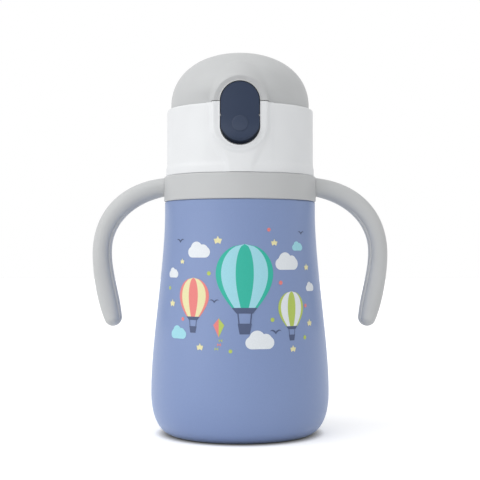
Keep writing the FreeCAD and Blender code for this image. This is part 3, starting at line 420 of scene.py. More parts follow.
def lipped_half():
    """The same with a crease and a soft lip along the inner side."""
    found = []
    for across, depth in plain_half():
        along = max(across - CREASE_U, 0.0) / (1 - CREASE_U)
        found.append((across, depth if along == 0 else LIP_DEPTH * (1 - along ** LIP_SQUARE) ** 0.5))
    return found


def rib(outer, inner, lip, depth):
    """One closed section between a point on the outer side and one on the inner side."""
    half = []
    for plain, lipped in zip(plain_half(), lipped_half()):
        half.append((between(plain[0], lipped[0], lip), between(plain[1], lipped[1], lip) * depth))
    full = half + [(across, -y) for across, y in reversed(half[1:-1])]
    return [(between(outer[0], inner[0], across), -y, between(outer[1], inner[1], across))
            for across, y in full]


def make_handle(name, side):
    """A grip with an oval section, a soft lip on its inner side and a domed tip."""
    outer, inner = handle_sides()
    last = len(outer) - 1
    rings = []
    for index, (out_point, in_point) in enumerate(zip(outer, inner)):
        lip = smoothstep(*LIP_GROWS, index / last)
        rings.append(rib(out_point, in_point, lip, HALF_DEPTH))
    low_deg = 90 - TIP_OUTER_DEG
    middle = (low_deg + 90 - TIP_INNER_DEG) / 2
    opening = low_deg - middle
    for step in range(1, TIP_RIBS + 1):
        spread_deg = opening * math.cos(math.pi / 2 * step / TIP_RIBS)
        shrink = math.sin(math.radians(spread_deg)) / math.sin(math.radians(opening))
        rings.append(rib(tip_point(middle + spread_deg), tip_point(middle - spread_deg),
                         1.0, HALF_DEPTH * max(shrink, TIP_LEAST)))
    points, faces = skin(rings)
    faces.append(tuple(range(len(rings[0]))))
    points = [(side * x, y, z) for x, y, z in points]
    handle = new_mesh(name, points, faces, GREY)
    tidy_normals(handle)
    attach(handle, "flask")
    return handle


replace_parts(make_handle("right_grip", 1), "right_handle")
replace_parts(make_handle("left_grip", -1), "left_handle")


# ---- soft front of the lid ----
WELL_DEPTH = 12.8  # these sizes follow the CAD lid
COLLAR_R = 32.9
RIM_EDGE_R = 0.9
BEAD_OUT = 0.45
BEAD_H = 2.45
BEAD_TOP_H = 5.15
PAD_R = 33.9
PAD_W = 23.3
PAD_H = 32.0
PAD_DROP = 4.8
POCKET_W = 17.1
POCKET_H = 27.3
POCKET_DROP = 4.85
COLLAR_SHARE = 0.25  # the collar's part of the island ends this far over the rim
SEAM_GAP = 0.3
DOME_R = 31.05
DOME_H = 23.9
DOME_FULLNESS = 0.6
FRONT_LIFT = 0.05  # how far the soft front lies over the CAD lid
FRONT_TUCK = 0.13  # how far its border sinks from there
CHIN_LIFT = 0.03
ARCH_LIFT = 0.06
DISH = 0.5  # the island's face rises this far from the pocket to its edge
DISH_SHARES = (0.12, 0.9)  # where across the face it does
BAND_EDGE = 0.35  # the band of painted shade on it keeps this far from both edges
INNER_LIP = 0.16  # a small lip runs round the pocket
LIP_SHARES = (0.04, 0.16)
FACE_LEAST = 0.1  # the face is taken to be at least this wide
FLANK_SLOPE = 1.45
EDGE_SOFT = 0.22
BASE_BLEND = 0.3  # how softly the chin runs into the collar
COLLAR_BLEND = 1.4  # how softly the island runs into the collar, and into the dome at both ends
DOME_BLEND = (1.6, 4.5)
BULGE = 1.75  # how far the dome's front stands out over a plain round
BULGE_FOOT = 0.08  # share of it at the rim
BULGE_FOOT_H = 7.0  # it is full this far over the rim
BULGE_HALF = (11.0, 29.0)  # it fades between these distances from the middle
BULGE_TOP = (13.0, 3.0)  # and between these under the dome's top
BORDER_HALF = (24.0, 30.0)  # the border sinks between these distances from the middle
BORDER_TOP = (8.0, 3.0)
BLEND_UP = (2.0, 15.0)  # the blend grows between these heights over the rim
FADE_FROM = 6.8  # distance from the island where its slope into the dome ends
FADE_FALL = 1.4
FOOT_TUCK = 0.8  # how far the dome's soft front reaches down into the collar's well
FLANK_CLEAR = 0.9  # beyond this distance from the island it does
CHIN_RISE = 0.85  # how far the chin under the island stands out
CHIN_FLANK = 2.1  # half the width of its flanks
CHIN_FOOT_HALF = 6.3  # half its width at the bottom and beside the island
CHIN_TOP_HALF = 11.6
CHIN_FOOT_UP = 2.5
CHIN_TOP_UP = 17.5
CHIN_FADE = 4.0  # it fades over this height above that
CHIN_LOW = 0.1  # its soft front starts this far over the collar's foot
CHIN_SIDE = 0.5  # and reaches this far past its flanks
CHIN_NEAR = 2.6  # and up to this distance from the island
CHIN_UNDER = 4.0  # and up to this far under the island's middle
CHIN_TUCK = 1.2  # its underside reaches this far back in
CHIN_CELLS = (88, 84)
CHIN_UNDER_CELLS = 60
COLLAR_REACH = 3.2  # the island's slope is laid this far out on the collar
COLLAR_COLUMNS = 36
DOME_REACH = 10.0  # and this far out on the dome
DOME_COLUMNS = 54
WING_HALF = 31.0  # the dome's soft front beyond the slope
WING_NEAR = 8.0
WING_TOP = 2.5  # ends this far under the dome's top
WING_CELLS = (124, 64)
PROFILE_STEPS = 300
OUT_STEP = 1.0  # one step out from the island's edge
OUT_POWER = 1.5  # cells grow with the distance from it
ARCH_STEPS = 64
SIDE_STEPS = 16
RIM_Z = DECK_HIGH[2] + WELL_DEPTH
PAD_Z = RIM_Z - PAD_DROP
POCKET_Z = RIM_Z - POCKET_DROP
PAD = (PAD_W, PAD_H, PAD_Z)
POCKET = (POCKET_W, POCKET_H, POCKET_Z)
COLLAR_BOTTOM_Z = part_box("lid_collar")[0][2] / MM
DOME_TOP_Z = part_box("dome_cover")[1][2] / MM
DOME_SPRING_Z = DOME_TOP_Z - DOME_H


def smooth_max(first, second, blend):
    """The larger of two values, with a fillet where they are close."""
    near = max(blend - abs(first - second), 0.0) / blend
    return max(first, second) + near * near * blend / 4


def obround_gap(x, z, width, height, centre_z):
    """Distance from a point to an upright obround's outline, below nothing inside it."""
    straight = (height - width) / 2
    off = max(abs(z - centre_z) - straight, 0.0)
    return math.hypot(x, off) - width / 2


def obround_point(turn, width, height, centre_z):
    """A point of an upright obround: over the top arch, down the left, round the foot, up the right."""
    radius = width / 2
    straight = height / 2 - radius
    part = int(turn) % 4
    share = turn - int(turn)
    if part in (0, 2):
        angle = math.pi * (share + part / 2)
        rise = straight if part == 0 else -straight
        return radius * math.cos(angle), centre_z + rise + radius * math.sin(angle)
    side = -1 if part == 1 else 1
    return side * radius, centre_z + side * straight * (2 * share - 1)


def island_radius(x, z):
    """The island's face, dished towards the button, and its flank."""
    outside = obround_gap(x, z, *PAD)
    inside = obround_gap(x, z, *POCKET)
    share = 1.0 if outside > 0 else inside / max(inside - outside, FACE_LEAST)
    dish = DISH * smoothstep(*DISH_SHARES, share) + INNER_LIP * (1 - smoothstep(*LIP_SHARES, share))
    fall = FLANK_SLOPE * EDGE_SOFT * math.log(1 + math.exp(outside / EDGE_SOFT))
    return PAD_R + dish - fall


def collar_radius(z):
    """The collar's plain outside: bead, wall and rounded rim."""
    up = z - COLLAR_BOTTOM_Z
    into_rim = max(z - (RIM_Z - RIM_EDGE_R), 0.0)
    rim = RIM_EDGE_R - math.sqrt(max(RIM_EDGE_R ** 2 - into_rim ** 2, 0.0))
    return COLLAR_R + BEAD_OUT * (1 - smoothstep(BEAD_H, BEAD_TOP_H, up)) - rim


def collar_front(x, z):
    """The collar's outside with the island and the chin under it."""
    up = z - COLLAR_BOTTOM_Z
    half = between(CHIN_FOOT_HALF, CHIN_TOP_HALF, smoothstep(CHIN_FOOT_UP, CHIN_TOP_UP, up))
    sideways = 1 - smoothstep(half - CHIN_FLANK, half + CHIN_FLANK, abs(x))
    upwards = 1 - smoothstep(CHIN_TOP_UP, CHIN_TOP_UP + CHIN_FADE, up)
    base = smooth_max(collar_radius(z), COLLAR_R + CHIN_RISE * sideways * upwards, BASE_BLEND)
    return smooth_max(base, island_radius(x, z), COLLAR_BLEND)


def dome_profile():
    """(height, radius) points up the dome's side."""
    side = ((DOME_R, DOME_SPRING_Z), (DOME_R, DOME_SPRING_Z + DOME_H * DOME_FULLNESS),
            (DOME_R * DOME_FULLNESS, DOME_TOP_Z), (0, DOME_TOP_Z))
    return [(z, radius) for radius, z in cubic(side, PROFILE_STEPS)]


DOME_PROFILE = dome_profile()


def dome_radius(z):
    """The dome's plain round at a height."""
    if z <= DOME_SPRING_Z:
        return DOME_R
    return radius_at(DOME_PROFILE, z)


def dome_front(x, z):
    """The dome's outside, fuller in front, with the island's arch flowing back into it."""
    sideways = 1 - smoothstep(*BULGE_HALF, abs(x))
    upwards = between(BULGE_FOOT, 1, smoothstep(RIM_Z, RIM_Z + BULGE_FOOT_H, z))
    upwards *= 1 - smoothstep(DOME_TOP_Z - BULGE_TOP[0], DOME_TOP_Z - BULGE_TOP[1], z)
    border = max(smoothstep(*BORDER_HALF, abs(x)),
                 smoothstep(DOME_TOP_Z - BORDER_TOP[0], DOME_TOP_Z - BORDER_TOP[1], z))
    blend = between(*DOME_BLEND, smoothstep(RIM_Z + BLEND_UP[0], RIM_Z + BLEND_UP[1], z))
    base = dome_radius(z) + BULGE * sideways * upwards - FRONT_TUCK * border
    beyond = max(0.0, obround_gap(x, z, *PAD) - FADE_FROM)
    return smooth_max(base, island_radius(x, z) - FADE_FALL * beyond ** 2, blend)


def front_point(front, x, z, lift):
    """The point of a front surface that lies behind x on the island's cylinder."""
    radius = front(x, z) + lift
    across = x / PAD_R
    return (radius * across, -radius * math.sqrt(1 - across ** 2), z)


def island_patch(front, low, foot, high, reach, columns, lift):
    """Points and faces from the pocket's edge over the island's face and down its flank."""
    turns = []
    for part, steps in enumerate((ARCH_STEPS, SIDE_STEPS, ARCH_STEPS, SIDE_STEPS)):
        turns += [part + step / steps for step in range(steps)]
    inner = columns // 3
    points = []
    kept = []
    for turn in turns:
        near = obround_point(turn, *POCKET)
        edge = obround_point(turn, *PAD)
        out = obround_point(turn, PAD_W + 2 * OUT_STEP, PAD_H + 2 * OUT_STEP, PAD_Z)
        for column in range(columns + 1):
            if column <= inner:
                x, z = [between(a, b, column / inner) for a, b in zip(near, edge)]
            else:
                far = reach * ((column - inner) / (columns - inner)) ** OUT_POWER
                x, z = [between(b, c, far) for b, c in zip(edge, out)]
            gap = obround_gap(x, z, *PAD)
            top = high
            if high < PAD_Z + PAD_H / 2:
                top = between(high, RIM_Z, smoothstep(0.0, OUT_STEP, gap))
            bottom = foot if gap > FLANK_CLEAR else low
            points.append(front_point(front, x, min(max(z, bottom), top), lift))
            kept.append(bottom < z < top)
    cells = [cell(row, (row + 1) % len(turns), column, columns + 1)
             for row in range(len(turns)) for column in range(columns)]
    return points, [face for face in cells if any(kept[corner] for corner in face)]


def open_patch(front, x_range, z_range, steps, near, lift):
    """Points and faces of the front beyond the island's flank."""
    columns, rows = steps
    points = []
    for row in range(rows + 1):
        z = between(*z_range, row / rows)
        for column in range(columns + 1):
            points.append(front_point(front, between(*x_range, column / columns), z, lift))
    faces = []
    for row in range(rows):
        z = between(*z_range, (row + 0.5) / rows)
        for column in range(columns):
            x = between(*x_range, (column + 0.5) / columns)
            if obround_gap(x, z, *PAD) > near:
                faces.append(cell(row, row + 1, column, columns + 1))
    return points, faces


def join_patches(name, patches, material, body, band=None):
    """One piece from several patches; band is a darker material, painted shade, for the island's dished
    face.
    """
    points = []
    faces = []
    for some_points, some_faces in patches:
        start = len(points)
        points += some_points
        faces += [tuple(start + corner for corner in face) for face in some_faces]
    thing = new_mesh(name, points, faces, material)
    if band:
        thing.data.materials.append(band)
        for polygon in thing.data.polygons:
            x, z = polygon.center.x / MM, polygon.center.z / MM
            from_edge = -obround_gap(x, z, *PAD)
            from_pocket = obround_gap(x, z, *POCKET)
            # faces of the dished band, away from both edges, take the painted-shade material
            polygon.material_index = int(min(from_edge, from_pocket) > BAND_EDGE)
    work = bmesh.new()
    work.from_mesh(thing.data)
    face_outwards(work)
    loose = [vert for vert in work.verts if not vert.link_faces]
    bmesh.ops.delete(work, geom=loose, context="VERTS")
    work.to_mesh(thing.data)
    work.free()
    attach(thing, body)


def make_collar_front():
    """The island's white share, the soft chin under it and the chin's underside."""
    foot = COLLAR_BOTTOM_Z + CHIN_LOW
    half = CHIN_TOP_HALF + CHIN_FLANK + CHIN_SIDE
    chin = open_patch(collar_front, (-half, half), (foot, PAD_Z - CHIN_UNDER),
                      CHIN_CELLS, CHIN_NEAR, CHIN_LIFT)
    under_points = []
    for tuck in (0.0, CHIN_TUCK):
        for column in range(CHIN_UNDER_CELLS + 1):
            x = half * (2 * column / CHIN_UNDER_CELLS - 1)
            under_points.append(front_point(collar_front, x, foot, CHIN_LIFT - tuck))
    under = [cell(0, 1, column, CHIN_UNDER_CELLS + 1) for column in range(CHIN_UNDER_CELLS)]
    face = island_patch(collar_front, COLLAR_BOTTOM_Z, COLLAR_BOTTOM_Z, RIM_Z + COLLAR_SHARE,
                        COLLAR_REACH, COLLAR_COLUMNS, FRONT_LIFT)
    join_patches("collar_front", [face, chin, (under_points, under)],
                 WHITE, "lid", WHITE_BAND_SHADED)


def make_dome_front():
    """The island's grey share, its slope into the dome and the dome's fuller front."""
    low = RIM_Z + COLLAR_SHARE + SEAM_GAP
    foot = RIM_Z - FOOT_TUCK
    face = island_patch(dome_front, low, foot, DOME_TOP_Z, DOME_REACH, DOME_COLUMNS, ARCH_LIFT)
    wings = open_patch(dome_front, (-WING_HALF, WING_HALF), (foot, DOME_TOP_Z - WING_TOP),
                       WING_CELLS, WING_NEAR, FRONT_LIFT)
    join_patches("dome_front", [face, wings], GREY, "dome", GREY_BAND_SHADED)


make_collar_front()
make_dome_front()


# ---- hinge spring ----
HINGE_Y = 33.4  # these sizes follow the CAD spring
HINGE_Z = 146.5
SPRING_R = 1.75
SPRING_WIRE_R = 0.3
SPRING_TURNS = 8
SPRING_LENGTH = 6.8
DOME_LEG = 5.5
COLLAR_LEG = 3.0
WIRE_SIDES = 10
TURN_STEPS = 24


def wire(name, path, body):
    """A round wire along a path of points in millimetres."""
    rings = []
    for index, here in enumerate(path):
        along = (path[min(index + 1, len(path) - 1)] - path[max(index - 1, 0)]).normalized()
        side = along.cross(Vector((1, 0, 0))).normalized()
        rise = along.cross(side)
        rings.append([here + a * side + b * rise for a, b in circle(0, 0, SPRING_WIRE_R, WIRE_SIDES)])
    points, faces = skin(rings)
    faces.append(tuple(reversed(range(WIRE_SIDES))))
    faces.append(tuple(range(len(points) - WIRE_SIDES, len(points))))
    thing = new_mesh(name, points, faces, SPRING_STEEL)
    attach(thing, body)
    return thing


def make_hinge_spring():
    """The coil with its leg on the collar, and the leg that follows the dome."""
    coil = []
    for step in range(SPRING_TURNS * TURN_STEPS + 1):
        turns = step / TURN_STEPS
        angle = math.tau * turns
        coil.append(Vector((SPRING_LENGTH * (turns / SPRING_TURNS - 0.5),
                            HINGE_Y - SPRING_R * math.cos(angle), HINGE_Z - SPRING_R * math.sin(angle))))
    coil.append(coil[-1] - Vector((0, 0, COLLAR_LEG)))
    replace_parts(wire("hinge_spring_coil", coil, "lid"), "hinge_spring")
    wire("hinge_spring_leg", [coil[0], coil[0] + Vector((0, 0, DOME_LEG))], "dome")


make_hinge_spring()


# ---- marks on the button, and painted shade under it ----
BUTTON_W = 16.5  # these sizes follow the CAD button
BUTTON_H = 26.5
BUTTON_DROP = 4.75  # from the collar's rim down to the button's centre
BUTTON_R = 33.8
BUTTON_SWELL = 2.2
BUTTON_PIVOT_DROP = 5.5
BUTTON_EDGE = 2.2
BUTTON_FOOT_RAISE = 2.4
BUTTON_FOOT_R = 33.5
BUTTON_FACE_R = 36.15
DISC_R = 3.4
DISC_DROP = 9.35  # from the collar's rim down to the disc's centre
DISC_RAISE = 0.17
DISC_SHARES = (0.02, 0.15, 0.3, 0.45, 0.6, 0.75, 0.9, 1.0, 1.02)  # radii of its rings
DISC_SIDES = 64
SKIRT_RAISE = 0.03
SKIRT_WIDEN = 1.003
SKIRT_SHARE = 0.5  # the share of the sloping wall that the skirt of painted shade covers
SKIRT_TURNS = (1.5, 2.0)  # it starts halfway down the left side and goes half round
SKIRT_CELLS = (12, 96)
FACE_STEPS = 120
BUTTON_Z = RIM_Z - BUTTON_DROP


def button_profile():
    """(height, radius) points up the button's lower half."""
    pivot_z = RIM_Z - BUTTON_PIVOT_DROP
    foot_z = BUTTON_Z - BUTTON_H / 2
    middle = (pivot_z + foot_z) / 2
    swell = BUTTON_R + BUTTON_SWELL
    face = cubic(((swell, foot_z + BUTTON_EDGE), (swell, middle), (BUTTON_R, middle), (BUTTON_R, pivot_z)),
                 FACE_STEPS)
    return [(foot_z - 1, swell)] + [(z, radius) for radius, z in face] + [(RIM_Z, BUTTON_R)]


def button_depth(profile, x, z):
    """How far the button's face lies in front of the axis."""
    return math.sqrt(radius_at(profile, z) ** 2 - x ** 2)


def make_button_disc(profile):
    """The shallow round mark that shows where to press."""
    centre_z = RIM_Z - DISC_DROP
    rings = []
    for far in DISC_SHARES:
        raise_by = DISC_RAISE if far <= 1.0 else 0.0
        rings.append([(x, -button_depth(profile, x, z) - raise_by, z)
                      for x, z in circle(0.0, centre_z, DISC_R * far, DISC_SIDES)])
    points, faces = skin(rings)
    faces.append(tuple(range(DISC_SIDES)))
    disc = new_mesh("button_disc", points, faces, NAVY_DOT)
    tidy_normals(disc)
    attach(disc, "button")


def make_button_shade_skirt(profile):
    """A near-black sheet over the lower wall that slopes back under the button's face: painted shade."""
    columns, rows = SKIRT_CELLS
    points = []
    inside = []
    for step in range(rows + 1):
        turn = SKIRT_TURNS[0] + SKIRT_TURNS[1] * step / rows
        x, z = obround_point(turn, BUTTON_W, BUTTON_H, BUTTON_Z)
        face = obround_point(turn, BUTTON_W, BUTTON_H - BUTTON_FOOT_RAISE, BUTTON_Z + BUTTON_FOOT_RAISE / 2)
        for inner in range(columns + 1):
            share = SKIRT_SHARE * inner / columns
            at_x, at_z = between(x, face[0], share), between(z, face[1], share)
            depth = between(BUTTON_FOOT_R, BUTTON_FACE_R, share)
            surface = button_depth(profile, at_x, at_z)
            points.append((at_x * SKIRT_WIDEN, -min(depth, surface) - SKIRT_RAISE, at_z - SKIRT_RAISE))
            inside.append(depth < surface)
    cells = [cell(row, row + 1, column, columns + 1) for row in range(rows) for column in range(columns)]
    faces = [face for face in cells if any(inside[corner] for corner in face)]
    join_patches("button_skirt_painted_shade", [(points, faces)], NAVY_PAINTED_SHADE, "button")


make_button_disc(button_profile())
make_button_shade_skirt(button_profile())


# ---- spout ----
FOLD_DEG = 48.0  # how far the spout leans forwards
PIVOT_UP = 6.2  # above the deck
BEND_R = 9.0
SPOUT_REACH = 33.0  # from the bend's centre to the mouthpiece's tip
SPOUT_R = 5.0
BORE_R = 2.2
SPOUT_WALL_T = 2.9  # of the boot round the straw
FOLDS = 3
FOLDS_UP = (2.2, 11.0)  # the folds lie between these distances above the deck
FOLD_OUT = 0.35
FOLD_STEPS = 8
WAIST = 0.6  # how far the mouthpiece draws in
WAIST_END = 0.8
SPOUT_LIP = 1.3
SPOUT_LIP_STEPS = 8
SPOUT_SIDES = 48
SPOUT_LEAN = math.radians(FOLD_DEG)
HALF_BEND = BEND_R * math.tan(SPOUT_LEAN / 2)
SHANK = PIVOT_UP - HALF_BEND


def spout_path(along):
    """The centre line and its lean at a distance above the deck: up, round the bend and out to the tip."""
    centre_y = (BOOT_LOW[1] + BOOT_HIGH[1]) / 2
    lean = min(max((along - SHANK) / BEND_R, 0.0), SPOUT_LEAN)
    straight = max(along - SHANK - BEND_R * SPOUT_LEAN, 0.0)
    up = min(along, SHANK)
    y = centre_y - BEND_R * (1 - math.cos(lean)) - straight * math.sin(lean)
    z = DECK_HIGH[2] + up + BEND_R * math.sin(lean) + straight * math.cos(lean)
    return (y, z), lean


def spout_ring(along, radius):
    """A ring of the spout, square to its centre line."""
    (y, z), lean = spout_path(along)
    return [(x, y + across * math.cos(lean), z + across * math.sin(lean))
            for x, across in circle(0, 0, radius, SPOUT_SIDES)]


def spout_profile(tip):
    """(distance above the deck, radius) round the whole section, from the flange to the bore's foot."""
    deck_t = DECK_HIGH[2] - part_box("lid_deck")[0][2] / MM
    flange = BOOT_HIGH[0]
    low = BOOT_LOW[2] - DECK_HIGH[2]
    plate = STRAW_HIGH[0] + SPOUT_WALL_T
    profile = [(low, STRAW_HIGH[0]), (low, flange - 1.0), (low + 0.4, flange - 0.4),
               (low + 1.6, flange - 0.2), (low + 1.62, plate), (-0.02, plate), (0.0, flange),
               (0.5, flange - 0.1), (1.0, flange - 0.6), (1.3, flange - 1.6), (1.5, flange - 2.6),
               (1.8, SPOUT_R + FOLD_OUT)]
    start, end = FOLDS_UP
    steps = FOLD_STEPS * FOLDS
    for step in range(steps + 1):
        wave = 0.5 - 0.5 * math.cos(math.tau * FOLDS * step / steps)
        profile.append((between(start, end, step / steps), SPOUT_R + FOLD_OUT * wave))
    for share in (0.1, 0.25, 0.4, 0.55, 0.7, 0.8, 0.88, 0.94):
        draw = math.sin(math.pi * min(share / WAIST_END, 1.0)) ** 2
        profile.append((between(end, tip, share), SPOUT_R - WAIST * draw))
    middle = (SPOUT_R + BORE_R) / 2
    for step in range(SPOUT_LIP_STEPS + 1):
        angle = math.pi * step / SPOUT_LIP_STEPS
        profile.append((tip - SPOUT_LIP + SPOUT_LIP * math.sin(angle),
                        middle + (SPOUT_R - middle) * math.cos(angle)))
    for share in (0.1, 0.3, 0.5, 0.7, 0.8, 0.9, 1.0):
        profile.append(((tip - SPOUT_LIP) * (1 - share), BORE_R))
    profile.append((-deck_t, STRAW_HIGH[0]))
    return profile


def make_spout():
    """The silicone spout as one piece: flange in the deck, ribbed bend and mouthpiece."""
    tip = SHANK + BEND_R * SPOUT_LEAN + SPOUT_REACH - HALF_BEND
    rings = [spout_ring(along, radius) for along, radius in spout_profile(tip)]
    points, faces = skin(rings, close_along=True)
    spout = new_mesh("spout_skin", points, faces, SILICONE)
    tidy_normals(spout)
    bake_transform(spout)
    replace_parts(spout, "spout_base", "spout_mouthpiece")


make_spout()


# ---- printed motifs ----
BARREL_WIDEST_Z = 18.8  # the barrel's side follows the CAD shell
BARREL_PULL = 23.15
SHOULDER_R = 33.83
SHOULDER_STRAIGHT_Z = 99.1
PRINT_LIFT = 0.06  # how far the ink lies over the coat
PRINT_CELL = 2.0  # longest straight step across the curved wall
WALL_STEPS = 400
STAR_POINTS = 5
STAR_INNER = 0.48  # radius of its inner corners, as a share
GORE_STEPS = 28
GORES_DEG = (-90, -54, -18, 18, 54, 90)
BALLOON_TAPER = 1.35  # the envelope's foot lies this many radii under its centre
BAND_TOP = 1.16  # and the band round it starts here
ENVELOPE_FOOT = 0.28  # half its width at the foot; these three are in radii too
ROPE_DROP = 0.34
BASKET_DROP = 0.36
CLOUD_END = 0.21  # radius of a cloud's ends, in widths
CLOUD_STEPS = 36
BIRD_STEPS = 20
INKS = {
    "teal": (0.024, 0.462, 0.352), "coral": (0.807, 0.224, 0.212), "lime": (0.462, 0.584, 0.112),
    "aqua": (0.347, 0.694, 0.791), "cream": (0.815, 0.761, 0.429), "white": (0.79, 0.83, 0.87),
    "navy": (0.067, 0.095, 0.19),
}


def wall_radii():
    """(height, radius) points up the barrel's side."""
    widest = SHELL_HIGH[0]
    side = ((widest, BARREL_WIDEST_Z), (widest, BARREL_WIDEST_Z + BARREL_PULL),
            (SHOULDER_R, SHOULDER_STRAIGHT_Z - BARREL_PULL), (SHOULDER_R, SHOULDER_STRAIGHT_Z))
    return [(z, radius) for radius, z in cubic(side, WALL_STEPS)]


def wall_point(radii, across, height, lift):
    """A point above the wall, given by its distance round from the front and its height."""
    radius = radius_at(radii, height)
    angle = across / radius
    reach = radius + lift
    return Vector((reach * math.sin(angle), -reach * math.cos(angle), height))


def star(x, z, radius):
    """A star with one point up."""
    found = []
    for step in range(2 * STAR_POINTS):
        angle = math.pi * (0.5 + step / STAR_POINTS)
        far = radius * (1.0 if step % 2 == 0 else STAR_INNER)
        found.append((x + far * math.cos(angle), z + far * math.sin(angle)))
    return found


def balloon_half_width(radius, drop):
    """Half the envelope's width at a distance under its centre."""
    if drop < 0:
        return math.sqrt(max(radius ** 2 - drop ** 2, 0.0))
    fall = math.cos(math.pi / 2 * drop / (BALLOON_TAPER * radius))
    return radius * between(ENVELOPE_FOOT, 1, fall)


def gore(x, z, radius, left_deg, right_deg, top, bottom=BALLOON_TAPER):
    """One strip of a balloon between two of its meridians, as a ladder of small polygons."""
    left = math.sin(math.radians(left_deg))
    right = math.sin(math.radians(right_deg))
    rows = []
    for step in range(GORE_STEPS + 1):
        drop = radius * between(top, bottom, step / GORE_STEPS)
        half = balloon_half_width(radius, drop)
        rows.append(((x + left * half, z - drop), (x + right * half, z - drop)))
    ladder = [[low[0], low[1], high[1], high[0]] for high, low in zip(rows, rows[1:])]
    if top == -1.0:
        ladder[0] = ladder[0][:3]
    return ladder


def balloon(x, z, radius, first, second, basket):
    """A striped hot-air balloon with a band, ropes and a basket."""
    shapes = []
    for index, (left, right) in enumerate(zip(GORES_DEG, GORES_DEG[1:])):
        ink = first if index % 2 == 0 else second
        shapes += [(ink, part) for part in gore(x, z, radius, left, right, -1.0, BAND_TOP)]
    low = z - BALLOON_TAPER * radius
    half = ENVELOPE_FOOT * radius
    hang = low - ROPE_DROP * radius
    foot = hang - BASKET_DROP * radius
    shapes += [(basket, part) for part in gore(x, z, radius, -90, 90, BAND_TOP)]
    for side in (-1, 1):
        shapes.append((basket, [(x + side * half * 0.9, low), (x + side * half * 0.75, low),
                                (x + side * half * 0.62, hang), (x + side * half * 0.77, hang)]))
    shapes.append((basket, [(x - half * 0.85, hang), (x + half * 0.85, hang),
                            (x + half * 0.62, foot), (x - half * 0.62, foot)]))
    return shapes


def cloud(x, z, width):
    """A flat-bottomed cloud of three bumps."""
    end_r = CLOUD_END * width
    bumps = [(-0.5 * width + end_r, 0, end_r), (-0.1 * width, 0.14 * width, 0.27 * width),
             (0.2 * width, 0.08 * width, 0.22 * width), (0.5 * width - end_r, 0, end_r)]
    top = []
    bottom = []
    for step in range(CLOUD_STEPS + 1):
        across = -0.5 * width * math.cos(math.pi * step / CLOUD_STEPS)
        heights = [up + math.sqrt(max(r ** 2 - (across - middle) ** 2, 0.0)) for middle, up, r in bumps
                   if abs(across - middle) <= r + 0.001]
        top.append((x + across, z + max(heights)))
        outside = max(abs(across) - (0.5 * width - end_r), 0.0)
        bottom.append((x + across, z - math.sqrt(max(end_r ** 2 - outside ** 2, 0.0))))
    return bottom + top[-2:0:-1]


def bird(x, z, size):
    """Two curved wings."""
    top = []
    bottom = []
    for step in range(BIRD_STEPS + 1):
        across = 2 * step / BIRD_STEPS - 1
        middle = 0.42 * math.sin(0.75 * math.pi * abs(across))
        thick = 0.20 * (1 - abs(across)) + 0.02
        top.append((x + size * across, z + size * (middle + thick)))
        bottom.append((x + size * across, z + size * (middle - thick)))
    return bottom + top[::-1]


def kite(x, z, size, first, second):
    """A kite of two colours with a tail of small bows."""
    top = (x, z + size)
    low = (x, z - 1.5 * size)
    left = (x - 0.75 * size, z + 0.1 * size)
    right = (x + 0.75 * size, z + 0.1 * size)
    shapes = [(first, [top, left, low]), (second, [top, low, right])]
    for index in range(3):
        bow_z = z - size * (1.9 + 0.55 * index)
        bow_x = x + 0.35 * size * math.sin(2.2 * index + 0.8)
        wing = 0.24 * size
        for side in (-1, 1):
            bow = [(bow_x, bow_z), (bow_x + side * wing, bow_z + wing * 0.8),
                   (bow_x + side * wing, bow_z - wing * 0.8)]
            shapes.append((second if index % 2 == 0 else first, bow))
    return shapes


SCATTERED = (
    (cloud, "white", ((-18.5, 81.5, 11.0), (21.5, 76.5, 12.0), (8.5, 43.5, 12.5),
                      (-33.5, 72.0, 7.0), (36.0, 66.0, 6.5))),
    (cloud, "aqua", ((-29.0, 46.5, 9.0), (27.5, 83.5, 6.5))),
    (star, "cream", ((-9.5, 86.5, 1.9), (15.0, 85.5, 1.6), (33.5, 75.0, 1.7), (-33.5, 59.5, 1.8),
                     (34.5, 51.0, 1.7), (-17.5, 41.5, 1.7), (24.0, 40.5, 1.6), (-27.5, 77.5, 1.3))),
    (circle, "lime", ((-13.5, 72.5, 0.9), (14.0, 53.0, 0.9), (-36.0, 66.0, 0.8), (31.0, 45.0, 0.9),
                      (-4.0, 40.0, 0.8))),
    (circle, "coral", ((12.5, 91.0, 0.8), (-26.5, 53.0, 0.8), (32.0, 58.5, 0.8), (18.0, 68.5, 0.9))),
    (bird, "navy", ((15.5, 47.5, 2.6), (-29.0, 86.0, 2.4), (-11.0, 60.5, 2.1), (30.0, 89.5, 2.1))),
)


def motifs():
    """Every printed shape as (ink, outline), in millimetres round from the front and up."""
    shapes = balloon(2.0, 72.5, 12.4, "teal", "aqua", "navy")
    shapes += balloon(-21.0, 63.0, 7.6, "coral", "cream", "navy")
    shapes += balloon(23.5, 58.0, 6.8, "lime", "white", "navy")
    shapes += kite(-9.0, 50.5, 3.2, "coral", "lime")
    for draw, ink, places in SCATTERED:
        shapes += [(ink, draw(x, z, size)) for x, z, size in places]
    return shapes


